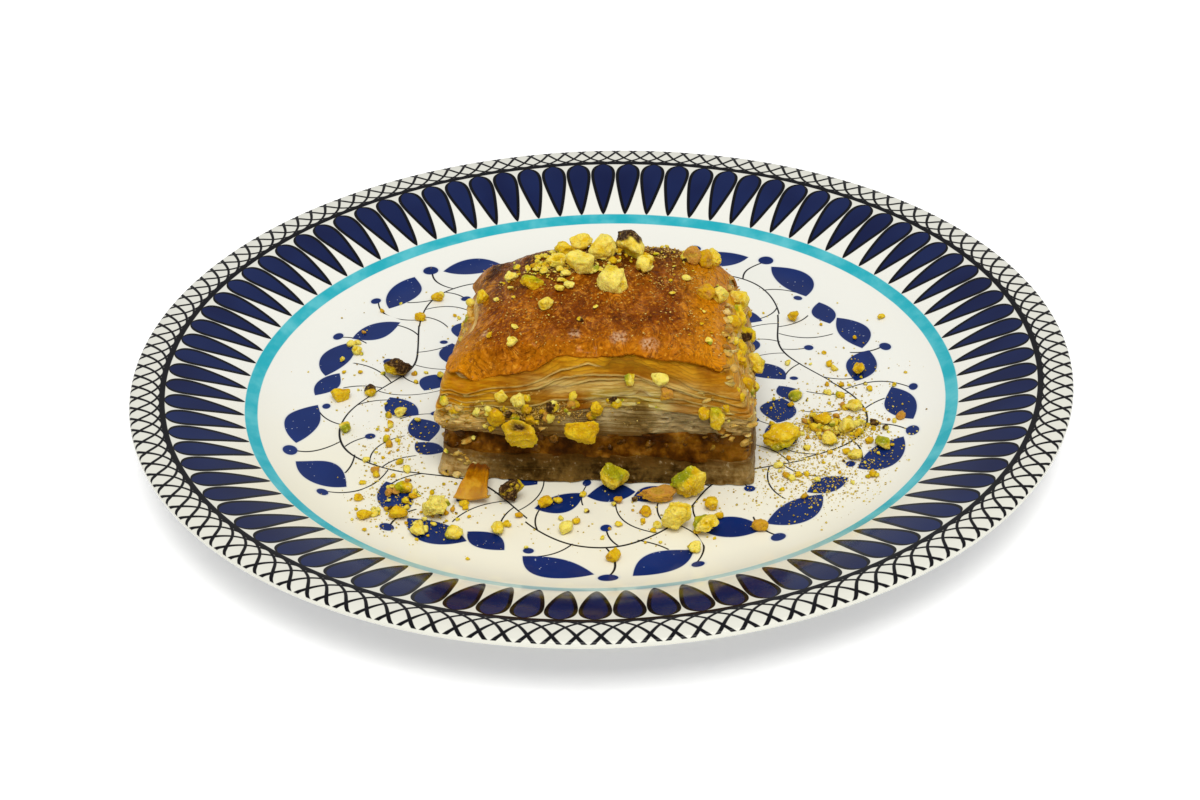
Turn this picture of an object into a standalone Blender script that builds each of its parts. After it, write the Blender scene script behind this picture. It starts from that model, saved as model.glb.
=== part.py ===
"""A slice of baklava on a painted dessert plate, with chopped pistachios on and round it.

Units are metres and +Z is up. The origin is the middle of the plate's foot ring, on the table.
The slice is three stacked blocks: pressed pastry sheets, a nut filling, and a tall block of
flaky sheets under a browned crust. Its front faces -Y, turned a little.
"""
import math
import random

import bpy
import bmesh
from mathutils import Matrix, Vector

GAP = 0.0003                     # clear space between neighbouring pieces

# Plate, turned about Z
FLOOR_TOP = 0.0050               # the flat glazed floor that the food lies on
FLOOR_RADIUS = 0.067
WELL_RADIUS = 0.080              # where the well meets the sloping side
WELL_BEND = 21.0                 # rise of the well per square metre past the floor
SIDE_SLOPE = 0.50                # the side starts at this slope and flattens by SIDE_BEND per metre
SIDE_BEND = 7.67
TOP_RADII = (0.067, 0.071, 0.0745, 0.0775, 0.080, 0.084, 0.088, 0.0925, 0.0975)
CREST_RADIUS = 0.1015
CREST_TOP = 0.01545
LIP_RADIUS = 0.0009
LIP_CENTRE = (0.1036, 0.0145)
LIP_STEPS = 5
UNDERSIDE = ((0.0990, 0.0119), (0.0900, 0.0084), (0.0800, 0.0043), (0.0720, 0.0022), (0.0640, 0.0017))
FOOT_OUTER = 0.0625
FOOT_INNER = 0.0575
UNDER_FLOOR = 0.0015             # height of the underside within the foot ring
PLATE_STEPS = 80

# Slice of baklava, in its own frame: a runs along the front, b from front to back
SLICE_CENTRE = (0.00115, -0.01125)
SLICE_TURN = math.radians(-6.5)
HALF_WIDTH = 0.0334
HALF_DEPTH = 0.0250
CORNER_POWER = 26.0              # how square the corners are
BASE_TOP = 0.0057                # heights above the plate's floor
FILLING_TOP = 0.0112
CRUST_CREST = 0.0343
CREST_ALONG = 0.002
CREST_BACK = 0.014
CRUST_FRONT = -0.0225
CRUST_REAR = 0.0225
RISE_FRONT = 0.0038              # the crust climbs this much from its front edge to its crest
FALL_REAR = 0.0055
DROOP_FRONT = 0.0032             # and drops this much to its left and right edges
DROOP_REAR = 0.0060
RIDGE = 0.0007                   # depth of the steps between flaky sheets

# How far each side leans in, as (height above the floor, inset) pairs. The left and right
# sides have one set of pairs at the slice's front and another at its back.
LEFT_INSET = ((0.0, -0.0006), (0.006, 0.0002), (0.010, 0.0005), (0.013, -0.0008),
              (0.0195, 0.0009), (0.024, 0.0028), (0.034, 0.0050))
LEFT_INSET_BACK = ((0.0, 0.0012), (0.010, 0.0016), (0.013, 0.0020), (0.022, 0.0030), (0.034, 0.0030))
RIGHT_INSET = ((0.0, -0.0004), (0.006, 0.0004), (0.010, 0.0008), (0.014, -0.0004),
               (0.017, 0.0012), (0.022, 0.0038), (0.034, 0.0078))
RIGHT_INSET_BACK = ((0.0, 0.0014), (0.010, 0.0022), (0.014, 0.0028), (0.022, 0.0056), (0.034, 0.0080))
FRONT_INSET = ((0.0, -0.0014), (0.003, -0.0006), (0.006, 0.0003), (0.009, 0.0009),
               (0.012, 0.0004), (0.018, 0.0009), (0.023, 0.0016), (0.034, 0.0032))
BACK_INSET = ((0.0, 0.0), (0.006, 0.0005), (0.010, 0.0008), (0.014, 0.0002),
              (0.020, 0.0012), (0.034, 0.0036))

# Chopped pistachio fused to the slice: a, b on the crust, then length, width, height
CRUST_NUTS = (
    (0.0023, -0.0017, 0.0066, 0.0058, 0.0056), (-0.0052, 0.0047, 0.0064, 0.0056, 0.0055),
    (-0.0012, 0.0118, 0.0070, 0.0056, 0.0052), (-0.0062, 0.0152, 0.0050, 0.0046, 0.0042),
    (0.0050, 0.0140, 0.0092, 0.0052, 0.0052), (0.0086, 0.0056, 0.0036, 0.0042, 0.0042),
    (-0.0096, 0.0128, 0.0044, 0.0038, 0.0034), (-0.0110, 0.0078, 0.0046, 0.0036, 0.0032),
    (-0.0153, -0.0003, 0.0052, 0.0034, 0.0034), (-0.0207, 0.0053, 0.0030, 0.0027, 0.0026),
    (-0.0115, -0.0085, 0.0034, 0.0030, 0.0028), (-0.0264, 0.0011, 0.0034, 0.0030, 0.0028),
    (0.0198, 0.0135, 0.0060, 0.0048, 0.0042), (0.0226, 0.0165, 0.0044, 0.0040, 0.0038),
    (0.0240, 0.0006, 0.0062, 0.0044, 0.0036), (-0.0171, -0.0200, 0.0030, 0.0024, 0.0022),
)
# The same on the front face: a, height above the floor, then length, depth, height
FRONT_NUTS = (
    (0.0073, 0.0245, 0.0030, 0.0022, 0.0034), (0.0137, 0.0246, 0.0042, 0.0022, 0.0030),
    (0.0151, 0.0210, 0.0034, 0.0024, 0.0036), (-0.0195, 0.0196, 0.0030, 0.0024, 0.0030),
    (-0.0155, 0.0190, 0.0040, 0.0028, 0.0034), (-0.0087, 0.0174, 0.0030, 0.0022, 0.0026),
    (-0.0206, 0.0148, 0.0042, 0.0034, 0.0042), (0.0232, 0.0172, 0.0032, 0.0026, 0.0032),
    (0.0256, 0.0162, 0.0044, 0.0034, 0.0054), (0.0005, 0.0178, 0.0030, 0.0024, 0.0028),
)
# The same on the right-hand face: b, height above the floor, then length, depth, height
RIGHT_NUTS = (
    (0.0060, 0.0230, 0.0040, 0.0034, 0.0052), (-0.0060, 0.0215, 0.0042, 0.0032, 0.0044),
    (-0.0150, 0.0190, 0.0044, 0.0036, 0.0046), (0.0090, 0.0165, 0.0040, 0.0030, 0.0040),
    (-0.0010, 0.0154, 0.0052, 0.0056, 0.0046),
)

# Loose pieces with a node each: x, y on the plate, length, width, height, turn in degrees
LOOSE_PISTACHIOS = {
    "pistachio_front_left": (0.0026, -0.0410, 0.0070, 0.0058, 0.0062, 20),
    "pistachio_front_green": (0.0174, -0.0440, 0.0082, 0.0058, 0.0062, -25),
    "pistachio_front_orange": (0.0108, -0.0452, 0.0088, 0.0042, 0.0036, -10),
    "pistachio_right_half": (0.0386, -0.0262, 0.0090, 0.0068, 0.0056, -15),
    "pistachio_near_green": (0.0142, -0.0545, 0.0070, 0.0060, 0.0058, 40),
    "pistachio_near_dark": (0.0204, -0.0570, 0.0056, 0.0044, 0.0040, 10),
    "pistachio_left_near": (-0.0350, -0.0478, 0.0068, 0.0056, 0.0050, 30),
    "pistachio_left_dark": (-0.0468, 0.0088, 0.0082, 0.0042, 0.0038, -35),
    "pistachio_brown_lump": (-0.0194, -0.0430, 0.0056, 0.0048, 0.0050, 0),
}
# Two pieces stuck to the front face: a, height above the floor, length, depth, height
STUCK_PISTACHIOS = {
    "pistachio_on_front": (-0.0022, 0.0134, 0.0078, 0.0044, 0.0066),
    "pistachio_on_left_front": (-0.0156, 0.0126, 0.0084, 0.0042, 0.0066),
}
# Small pieces fused to the plate: x, y and size
PLATE_NUTS = (
    (-0.0392, 0.0435, 0.0032), (-0.0430, 0.0345, 0.0028), (-0.0570, 0.0195, 0.0030),
    (-0.0590, -0.0005, 0.0044), (-0.0525, 0.0010, 0.0036), (-0.0450, -0.0085, 0.0034),
    (-0.0570, -0.0140, 0.0032), (-0.0425, -0.0385, 0.0040), (-0.0430, -0.0480, 0.0042),
    (-0.0385, -0.0540, 0.0040), (-0.0500, -0.0480, 0.0032), (-0.0310, -0.0555, 0.0038),
    (-0.0220, -0.0545, 0.0038), (-0.0080, -0.0550, 0.0036), (0.0014, -0.0650, 0.0034),
    (0.0222, -0.0480, 0.0036), (0.0085, -0.0498, 0.0028), (0.0178, -0.0630, 0.0034),
    (0.0315, -0.0565, 0.0036), (0.0435, -0.0070, 0.0036), (0.0485, -0.0175, 0.0044),
    (0.0535, -0.0205, 0.0046), (0.0490, -0.0255, 0.0040), (0.0560, -0.0125, 0.0040),
    (0.0590, 0.0035, 0.0036), (0.0605, -0.0275, 0.0038), (0.0465, 0.0285, 0.0036),
    (0.0540, -0.0320, 0.0034), (-0.0125, -0.0455, 0.0032),
)
LOOSE_POINTS = 26                # corners of a chopped nut before its hull is drawn
HULL_POINTS = 16
GRAIN_POINTS = 12
BIG_NUT = 0.0045                 # longer ones on the crust get more corners
GOLDEN_ANGLE = math.pi * (3.0 - math.sqrt(5.0))
CRUST_LIFT = 0.30                # how far a nut's middle is above what it lies on, as a share of its height
FACE_LIFT = 0.15
PLATE_LIFT = 0.26

# A torn, crisp piece of pastry that leans on the slice's front, near its left corner
SHARD_ALONG = -0.0252
SHARD_LENGTH = 0.0100
SHARD_WIDTH = 0.0066
SHARD_TIP_WIDTH = 0.0042
SHARD_THICKNESS = 0.0010
SHARD_LEAN = math.radians(21)
SHARD_CURL = 0.0008
SHARD_STAND_OFF = 0.0012         # how far its tip is from the slice's front line


def clear_scene():
    """Empty the file of objects and of their meshes."""
    for thing in list(bpy.data.objects):
        bpy.data.objects.remove(thing)
    for mesh in list(bpy.data.meshes):
        bpy.data.meshes.remove(mesh)


def material(name, colour, roughness, metallic=0.0):
    """A Principled material with one colour, for one sub-part."""
    made = bpy.data.materials.new(name)
    made.use_nodes = True
    shader = made.node_tree.nodes["Principled BSDF"]
    shader.inputs["Base Color"].default_value = (*colour, 1.0)
    shader.inputs["Roughness"].default_value = roughness
    shader.inputs["Metallic"].default_value = metallic
    made.diffuse_color = (*colour, 1.0)
    return made


def new_object(name, bm, parts, finish=None):
    """Turn a bmesh into a named object in a collection."""
    bmesh.ops.recalc_face_normals(bm, faces=bm.faces)
    mesh = bpy.data.meshes.new(name)
    bm.to_mesh(mesh)
    bm.free()
    thing = bpy.data.objects.new(name, mesh)
    if finish:
        mesh.materials.append(finish)
    parts.objects.link(thing)
    return thing


def well_height(radius):
    """The plate's upper surface: flat floor, a bend up to the well's edge, then a rounded side."""
    if radius <= FLOOR_RADIUS:
        return FLOOR_TOP
    bend = WELL_BEND * (min(radius, WELL_RADIUS) - FLOOR_RADIUS) ** 2
    past = max(radius - WELL_RADIUS, 0.0)
    return FLOOR_TOP + bend + SIDE_SLOPE * past - SIDE_BEND * past ** 2


def plate_profile():
    """Half section of the plate as (radius, height), from the middle over the rim and back under."""
    points = [(0.0, FLOOR_TOP)]
    points += [(radius, well_height(radius)) for radius in TOP_RADII]
    points.append((CREST_RADIUS, CREST_TOP))
    lip_r, lip_z = LIP_CENTRE
    for step in range(LIP_STEPS + 1):
        angle = math.pi * (0.5 - step / LIP_STEPS)
        points.append((lip_r + LIP_RADIUS * math.cos(angle), lip_z + LIP_RADIUS * math.sin(angle)))
    points += UNDERSIDE
    points += [(FOOT_OUTER, 0.0), (FOOT_INNER, 0.0), (FOOT_INNER - UNDER_FLOOR, UNDER_FLOOR)]
    points.append((0.0, UNDER_FLOOR))
    return points


def make_plate(parts, finish):
    """The plate: one closed profile turned about Z by a Screw modifier."""
    bm = bmesh.new()
    corners = [bm.verts.new((radius, 0.0, height)) for radius, height in plate_profile()]
    for first, second in zip(corners, corners[1:]):
        bm.edges.new((first, second))
    mesh = bpy.data.meshes.new("plate")
    bm.to_mesh(mesh)
    bm.free()
    mesh.materials.append(finish)
    plate = bpy.data.objects.new("plate", mesh)
    parts.objects.link(plate)
    turn = plate.modifiers.new("turn", "SCREW")
    turn.steps = PLATE_STEPS
    turn.render_steps = PLATE_STEPS
    turn.use_merge_vertices = True
    turn.merge_threshold = 0.0001
    return plate


def inset(pairs, height):
    """Read a side's lean at a height, joining the (height, inset) pairs by straight lines."""
    for (low, first), (high, second) in zip(pairs, pairs[1:]):
        if height <= high:
            share = max(height - low, 0.0) / (high - low)
            return first + (second - first) * share
    return pairs[-1][1]


def crust_height(a, b):
    """Height of the crust above the floor: a low dome that is highest behind its middle."""
    forward = min(max((b - CRUST_FRONT) / (CREST_BACK - CRUST_FRONT), 0.0), 1.0)
    if b < CREST_BACK:
        fall = RISE_FRONT * ((CREST_BACK - b) / (CREST_BACK - CRUST_FRONT)) ** 2
    else:
        fall = FALL_REAR * ((b - CREST_BACK) / (CRUST_REAR - CREST_BACK)) ** 2
    reach = 0.027 if a < CREST_ALONG else 0.0248
    droop = DROOP_FRONT + (DROOP_REAR - DROOP_FRONT) * forward
    return CRUST_CREST - fall - droop * (abs(a - CREST_ALONG) / reach) ** 3


def base_height(a, b):
    """Where the pressed base sheets end: a gentle wave, lower to the right."""
    return BASE_TOP + 0.0003 * math.sin(a * 140 + 1.0) - 0.012 * a + 0.0002 * math.sin(b * 160)


def filling_height(a, b):
    """Where the nut filling ends: a wave of its own, higher to the right."""
    return FILLING_TOP + 0.0005 * math.sin(a * 120 - 0.6) + 0.018 * a + 0.0003 * math.sin(b * 190 + 2)


def waviness(along, height, seed):
    """A smooth uneven line from three sines, between -1 and 1."""
    return (math.sin(along * 210 + height * 330 + seed) + 0.6 * math.sin(along * 470 - height * 260 + 2 * seed)
            + 0.4 * math.sin(along * 890 + height * 610 + 3 * seed)) / 2.0


def footprint(s, t, height, bulge):
    """Map a square's (s, t), from -1 to 1, to the slice's rounded, leaning outline at a height."""
    reach = max(abs(s), abs(t))
    if reach == 0.0:
        return 0.0, 0.0
    round_off = reach / (abs(s) ** CORNER_POWER + abs(t) ** CORNER_POWER) ** (1 / CORNER_POWER)
    front_pairs, back_pairs = (LEFT_INSET, LEFT_INSET_BACK) if s < 0 else (RIGHT_INSET, RIGHT_INSET_BACK)
    back_share = (t + 1.0) / 2.0
    side = inset(front_pairs, height) * (1.0 - back_share) + inset(back_pairs, height) * back_share
    end = inset(FRONT_INSET, height) if t < 0 else inset(BACK_INSET, height)
    a = s * round_off * (HALF_WIDTH - side + bulge * reach ** 8)
    b = t * round_off * (HALF_DEPTH - end + bulge * reach ** 8)
    return a, b


def cut_block(columns, ranks, rows):
    """A cube from -1 to 1 cut by evenly spaced planes into columns, ranks and rows."""
    bm = bmesh.new()
    bmesh.ops.create_cube(bm, size=2.0)
    for axis, count in enumerate((columns, ranks, rows)):
        normal = Vector((0.0, 0.0, 0.0))
        normal[axis] = 1.0
        for step in range(1, count):
            everything = bm.verts[:] + bm.edges[:] + bm.faces[:]
            place = normal * (2.0 * step / count - 1.0)
            bmesh.ops.bisect_plane(bm, geom=everything, plane_co=place, plane_no=normal, dist=1e-6)
    return bm


def layer_block(name, parts, finish, cells, bottom, top, relief):
    """A block of the slice. bottom and top give its heights, relief how far its sides stand out."""
    bm = cut_block(*cells)
    for vert in bm.verts:
        s, t, level = vert.co.x, vert.co.y, (vert.co.z + 1.0) / 2.0
        a, b = s * HALF_WIDTH, t * HALF_DEPTH
        for _ in range(2):
            height = bottom(a, b) + (top(a, b) - bottom(a, b)) * level
            bulge = relief(a, b, height, round(level * cells[2]), cells[2])
            a, b = footprint(s, t, height, bulge)
        height = bottom(a, b) + (top(a, b) - bottom(a, b)) * level
        vert.co = (a, b, FLOOR_TOP + height)
    block = new_object(name, bm, parts, finish)
    block.location = (SLICE_CENTRE[0], SLICE_CENTRE[1], 0.0)
    block.rotation_euler = (0.0, 0.0, SLICE_TURN)
    return block


def pressed_relief(a, b, height, row, rows):
    """The base's side: nearly flat, with slight waves."""
    return 0.0003 * waviness(a + b, height, 1.0)


def lumpy_relief(a, b, height, row, rows):
    """The filling's side: uneven lumps of nut, held back at its top and bottom."""
    middle = math.sin(math.pi * row / rows)
    return middle * (0.0002 + 0.0006 * waviness(1.6 * (a - b), 2 * height, 4.0))


def flaky_relief(a, b, height, row, rows):
    """The tall block's side: sheets that step in and out row by row, deeper towards the crust."""
    if row in (0, rows):
        return 0.0
    step = RIDGE * (0.35 + 0.65 * row / rows) * (1.0 if row % 2 else -1.0)
    return step + 0.0004 * waviness(a - b, height, 2.0 + row)


def chopped(name, points, size, seed, parts, finish=None):
    """A chopped nut: the hull of jittered points on an egg of the given length, width and height."""
    draw = random.Random(seed)
    bm = bmesh.new()
    for step in range(points):
        level = 1.0 - 2.0 * (step + 0.5) / points
        angle = step * GOLDEN_ANGLE + draw.uniform(-0.35, 0.35)
        reach = draw.uniform(0.84, 1.10)
        ring = math.sqrt(1.0 - level * level)
        spot = Vector((ring * math.cos(angle), ring * math.sin(angle), level)) * reach / 2.0
        bm.verts.new((spot.x * size[0], spot.y * size[1], spot.z * size[2]))
    hull = bmesh.ops.convex_hull(bm, input=bm.verts[:])
    bmesh.ops.delete(bm, geom=[v for v in hull["geom_interior"] if isinstance(v, bmesh.types.BMVert)])
    return new_object(name, bm, parts, finish)


def in_slice(a, b, height):
    """A place in the slice's own frame, as a place in the world."""
    turn = Matrix.Rotation(SLICE_TURN, 4, "Z")
    centre = Vector((SLICE_CENTRE[0], SLICE_CENTRE[1], FLOOR_TOP))
    return centre + turn @ Vector((a, b, height))


def nuts_on_slice(grains):
    """The small pieces stuck to the tall block: on its crust, its front and its right-hand face."""
    for index, (a, b, *size) in enumerate(CRUST_NUTS):
        points = HULL_POINTS if size[0] > BIG_NUT else GRAIN_POINTS
        nut = chopped("crust_nut", points, size, 100 + index, grains)
        nut.location = in_slice(a, b, crust_height(a, b) + CRUST_LIFT * size[2])
        nut.rotation_euler = (0.0, 0.0, SLICE_TURN + 0.9 * index)
    for index, (a, height, *size) in enumerate(FRONT_NUTS):
        nut = chopped("front_nut", GRAIN_POINTS, size, 200 + index, grains)
        face = -HALF_DEPTH + inset(FRONT_INSET, height)
        nut.location = in_slice(a, face - FACE_LIFT * size[1], height)
        nut.rotation_euler = (0.0, 0.5 * index, SLICE_TURN)
    for index, (b, height, *size) in enumerate(RIGHT_NUTS):
        nut = chopped("side_nut", GRAIN_POINTS, size, 300 + index, grains)
        face = footprint(1.0, b / HALF_DEPTH, height, 0.0)[0]
        nut.location = in_slice(face + FACE_LIFT * size[1], b, height)
        nut.rotation_euler = (0.5 * index, 0.0, SLICE_TURN + math.pi / 2)


def nuts_on_plate(grains):
    """The small pieces that lie on the plate, each sunk a little way into the glaze."""
    for index, (x, y, size) in enumerate(PLATE_NUTS):
        form = (size, 0.80 * size, 0.70 * size)
        nut = chopped("plate_nut", GRAIN_POINTS, form, 400 + index, grains)
        nut.location = (x, y, well_height(math.hypot(x, y)) + PLATE_LIFT * size)
        nut.rotation_euler = (0.0, 0.0, 1.3 * index)


def fuse(body, grains):
    """Join a collection of small pieces to a body with one union, then drop the collection."""
    join = body.modifiers.new("fuse", "BOOLEAN")
    join.operation = "UNION"
    join.operand_type = "COLLECTION"
    join.collection = grains
    join.solver = "EXACT"
    evaluated = body.evaluated_get(bpy.context.evaluated_depsgraph_get())
    fused = bpy.data.meshes.new_from_object(evaluated)
    finish = body.data.materials[0]
    body.modifiers.clear()
    body.data = fused
    fused.materials.clear()
    fused.materials.append(finish)
    for grain in list(grains.objects):
        bpy.data.objects.remove(grain)
    bpy.data.collections.remove(grains)


def make_loose_pistachios(parts, finish):
    """The larger pieces, each with a node of its own: on the plate, and stuck to the front face."""
    for index, (name, (x, y, length, width, height, turn)) in enumerate(LOOSE_PISTACHIOS.items()):
        nut = chopped(name, LOOSE_POINTS, (length, width, height), 500 + index, parts, finish)
        nut.rotation_euler = (0.0, 0.0, math.radians(turn))
        lowest = min(vert.co.z for vert in nut.data.vertices)
        nut.location = (x, y, FLOOR_TOP + GAP - lowest)
    for index, (name, (a, height, length, depth, tall)) in enumerate(STUCK_PISTACHIOS.items()):
        nut = chopped(name, LOOSE_POINTS, (length, depth, tall), 600 + index, parts, finish)
        furthest = max(vert.co.y for vert in nut.data.vertices)
        nut.rotation_euler = (0.0, 0.0, SLICE_TURN)
        nut.location = in_slice(a, -HALF_DEPTH - 2 * GAP - furthest, height)


def make_shard(parts, finish):
    """The pastry shard: a thin block, narrower and curled towards its tip, leaning on the slice."""
    bm = cut_block(5, 8, 1)
    for vert in bm.verts:
        across, up, side = vert.co.x, (vert.co.y + 1.0) / 2.0, vert.co.z
        width = SHARD_WIDTH + (SHARD_TIP_WIDTH - SHARD_WIDTH) * up + 0.0003 * math.sin(9 * up)
        ripple = 0.00025 * math.sin(5.0 * up + 2.0 * across)
        curl = SHARD_CURL * (across * across - up * up)
        place = Vector((across * width / 2, up * SHARD_LENGTH, side * SHARD_THICKNESS / 2 + ripple + curl))
        vert.co = Matrix.Rotation(SHARD_LEAN, 3, "X") @ place
    shard = new_object("pastry_shard", bm, parts, finish)
    lowest = min(vert.co.z for vert in shard.data.vertices)
    furthest = max(vert.co.y for vert in shard.data.vertices)
    shard.rotation_euler = (0.0, 0.0, SLICE_TURN)
    spot = in_slice(SHARD_ALONG, -HALF_DEPTH - SHARD_STAND_OFF - furthest, 0.0)
    shard.location = (spot.x, spot.y, FLOOR_TOP + GAP - lowest)


def round_shading(parts):
    """Smooth shading with sharp edges kept, on every piece."""
    for thing in parts.objects:
        thing.data.shade_smooth()
        thing.data.set_sharp_from_angle(angle=math.radians(35))


def main():
    clear_scene()
    parts = bpy.data.collections.new("baklava_on_plate")
    slice_grains = bpy.data.collections.new("slice_grains")
    plate_grains = bpy.data.collections.new("plate_grains")
    for group in (parts, slice_grains, plate_grains):
        bpy.context.scene.collection.children.link(group)

    glaze = material("white_glaze", (0.86, 0.85, 0.80), 0.12)
    pressed = material("pressed_pastry", (0.38, 0.29, 0.17), 0.35)
    filling = material("nut_filling", (0.20, 0.09, 0.03), 0.40)
    golden = material("golden_pastry", (0.60, 0.33, 0.10), 0.35)
    pistachio = material("pistachio", (0.62, 0.55, 0.10), 0.55)
    crisp = material("crisp_pastry", (0.66, 0.40, 0.14), 0.35)

    plate = make_plate(parts, glaze)
    layer_block("base_layers", parts, pressed, (16, 12, 2),
                lambda a, b: GAP, base_height, pressed_relief)
    layer_block("nut_filling", parts, filling, (20, 14, 3),
                lambda a, b: base_height(a, b) + GAP, filling_height, lumpy_relief)
    top = layer_block("top_layers", parts, golden, (20, 14, 11),
                      lambda a, b: filling_height(a, b) + GAP, crust_height, flaky_relief)
    nuts_on_slice(slice_grains)
    nuts_on_plate(plate_grains)
    bpy.context.view_layer.update()
    fuse(top, slice_grains)
    fuse(plate, plate_grains)
    make_loose_pistachios(parts, pistachio)
    make_shard(parts, crisp)
    round_shading(parts)


main()
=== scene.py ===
# %% [markdown]
# # A slice of baklava on a painted plate
# The solid model already holds every size: a turned plate, a slice in three stacked blocks,
# a leaning shard of pastry and the chopped pistachios. This lesson dresses it. Each piece is
# a surface worked out with numpy, and each finish is a small piece of shader arithmetic.

# %% Load the solid model and read its parts' boxes
import itertools
import math

import bmesh
import bpy
import numpy as np
from mathutils import Matrix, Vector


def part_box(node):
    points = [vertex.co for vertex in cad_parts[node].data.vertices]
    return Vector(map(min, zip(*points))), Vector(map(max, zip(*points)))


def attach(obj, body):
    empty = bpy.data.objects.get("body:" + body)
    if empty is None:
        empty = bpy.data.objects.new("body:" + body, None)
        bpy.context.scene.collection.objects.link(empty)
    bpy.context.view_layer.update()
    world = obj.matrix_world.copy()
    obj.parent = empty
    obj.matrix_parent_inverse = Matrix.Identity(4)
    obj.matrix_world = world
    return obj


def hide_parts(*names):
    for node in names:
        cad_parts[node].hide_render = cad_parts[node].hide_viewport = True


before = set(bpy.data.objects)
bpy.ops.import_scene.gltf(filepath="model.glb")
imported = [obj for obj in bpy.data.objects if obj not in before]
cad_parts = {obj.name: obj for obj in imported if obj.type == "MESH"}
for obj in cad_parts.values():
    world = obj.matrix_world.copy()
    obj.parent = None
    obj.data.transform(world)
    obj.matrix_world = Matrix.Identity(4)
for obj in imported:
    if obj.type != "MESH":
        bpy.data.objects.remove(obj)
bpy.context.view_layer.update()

# %% [markdown]
# Pastry and nuts are uneven at every scale, so one smooth random function serves them all.
# It could come from Blender's textures, but as plain arrays it shapes thousands of points at
# once, and a seeded lattice gives the same slice every time.

# %% Smooth noise on whole arrays
LATTICE_SIZE = 32
LATTICE = np.random.default_rng(11).uniform(-1.0, 1.0, (LATTICE_SIZE,) * 3)


def noise(points, size, shift=0.0):
    """Smooth values from -1 to 1: lattice numbers `size` apart, each cell's eight corners
    weighted by 3p^2 - 2p^3 of the place p inside the cell."""
    place = np.asarray(points) / size + shift
    cell = np.floor(place).astype(int)
    part = place - cell
    part = part * part * (3.0 - 2.0 * part)
    total = np.zeros(place.shape[:-1])
    for corner in itertools.product((0, 1), repeat=3):
        weight = np.prod(np.where(np.array(corner), part, 1.0 - part), axis=-1)
        i, j, k = np.moveaxis((cell + corner) % LATTICE_SIZE, -1, 0)
        total += weight * LATTICE[i, j, k]
    return total


def fractal(points, size, octaves, shift=0.0):
    """Noise plus itself at half the size and half the strength, `octaves` times over."""
    return sum(noise(points, size / 2 ** n, shift + 5.3 * n) / 2 ** n for n in range(octaves))


def smooth(value, low, high):
    """0 below low, 1 above high, and 3q^2 - 2q^3 of the share q between them."""
    share = np.clip((value - low) / (high - low), 0.0, 1.0)
    return share * share * (3.0 - 2.0 * share)


print("noise sample", np.round(noise([[0.01, 0.02, 0.03]], 0.004), 3))

# %% [markdown]
# A surface that is a function of two parameters is a grid of points. Blender only needs to
# know which four points make each face, and that is index arithmetic. A closed skin is a
# stack of rings with a pole at each end.

# %% Grids of points become meshes


def grid_faces(rows, columns, loop=False):
    """Quads between neighbours of a rows x columns grid; loop joins the last column to the first."""
    r = np.arange(rows - 1)[:, None] * columns
    c = np.arange(columns if loop else columns - 1)[None, :]
    after = (c + 1) % columns
    return np.stack([r + c, r + after, r + columns + after, r + columns + c], -1).reshape(-1, 4)


def make_piece(name, points, faces, finish):
    """Put points and faces into a mesh object at the origin, shaded smooth."""
    mesh = bpy.data.meshes.new(name)
    mesh.from_pydata(np.asarray(points).tolist(), [], [list(map(int, face)) for face in faces])
    mesh.update()
    mesh.shade_smooth()
    mesh.materials.append(finish)
    piece = bpy.data.objects.new(name, mesh)
    bpy.context.scene.collection.objects.link(piece)
    return piece


def ring_skin(name, rings, low, high, finish):
    """A closed skin of rings (rows, around, 3) from bottom to top, shut by a point below and above."""
    rows, around = rings.shape[:2]
    first = np.arange(around)
    second = (first + 1) % around
    last = (rows - 1) * around
    count = rows * around
    faces = [*grid_faces(rows, around, loop=True)]
    faces += [*np.stack([second, first, np.full(around, count)], -1)]
    faces += [*np.stack([last + first, last + second, np.full(around, count + 1)], -1)]
    return make_piece(name, np.vstack([rings.reshape(-1, 3), [low], [high]]), faces, finish)


def thicken(piece, thickness, offset=-1.0):
    """Give an open surface a wall with Solidify, then apply it."""
    wall = piece.modifiers.new("wall", "SOLIDIFY")
    wall.thickness = thickness
    wall.offset = offset
    evaluated = piece.evaluated_get(bpy.context.evaluated_depsgraph_get())
    walled = bpy.data.meshes.new_from_object(evaluated)
    piece.modifiers.clear()
    piece.data = walled


def keep_values(piece, values):
    """Keep numbers on a piece's points, for its finish to read by name."""
    for label, numbers in values.items():
        layer = piece.data.attributes.new(label, "FLOAT", "POINT")
        layer.data.foreach_set("value", np.ravel(numbers).astype(np.float32))


def in_metres(rows):
    """Table rows in millimetres, as metres. Words and whole numbers stay."""
    return [[round(value / 1000, 7) if isinstance(value, float) else value for value in row]
            for row in rows]


def dress(piece, slot, *nodes):
    """The piece rides on the one body and stands for the nodes given; the slot is not used."""
    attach(piece, "root")
    if nodes:
        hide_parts(*nodes)
    print(piece.name, len(piece.data.vertices), "points,", len(piece.data.polygons), "faces")


# %% [markdown]
# Materials are arithmetic too. This class wraps a socket of the node tree, so that an
# expression such as 1 - mask * 0.5 builds its own Math nodes. Every other node comes from
# the one method `node`.

# %% A socket that understands operators


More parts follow.
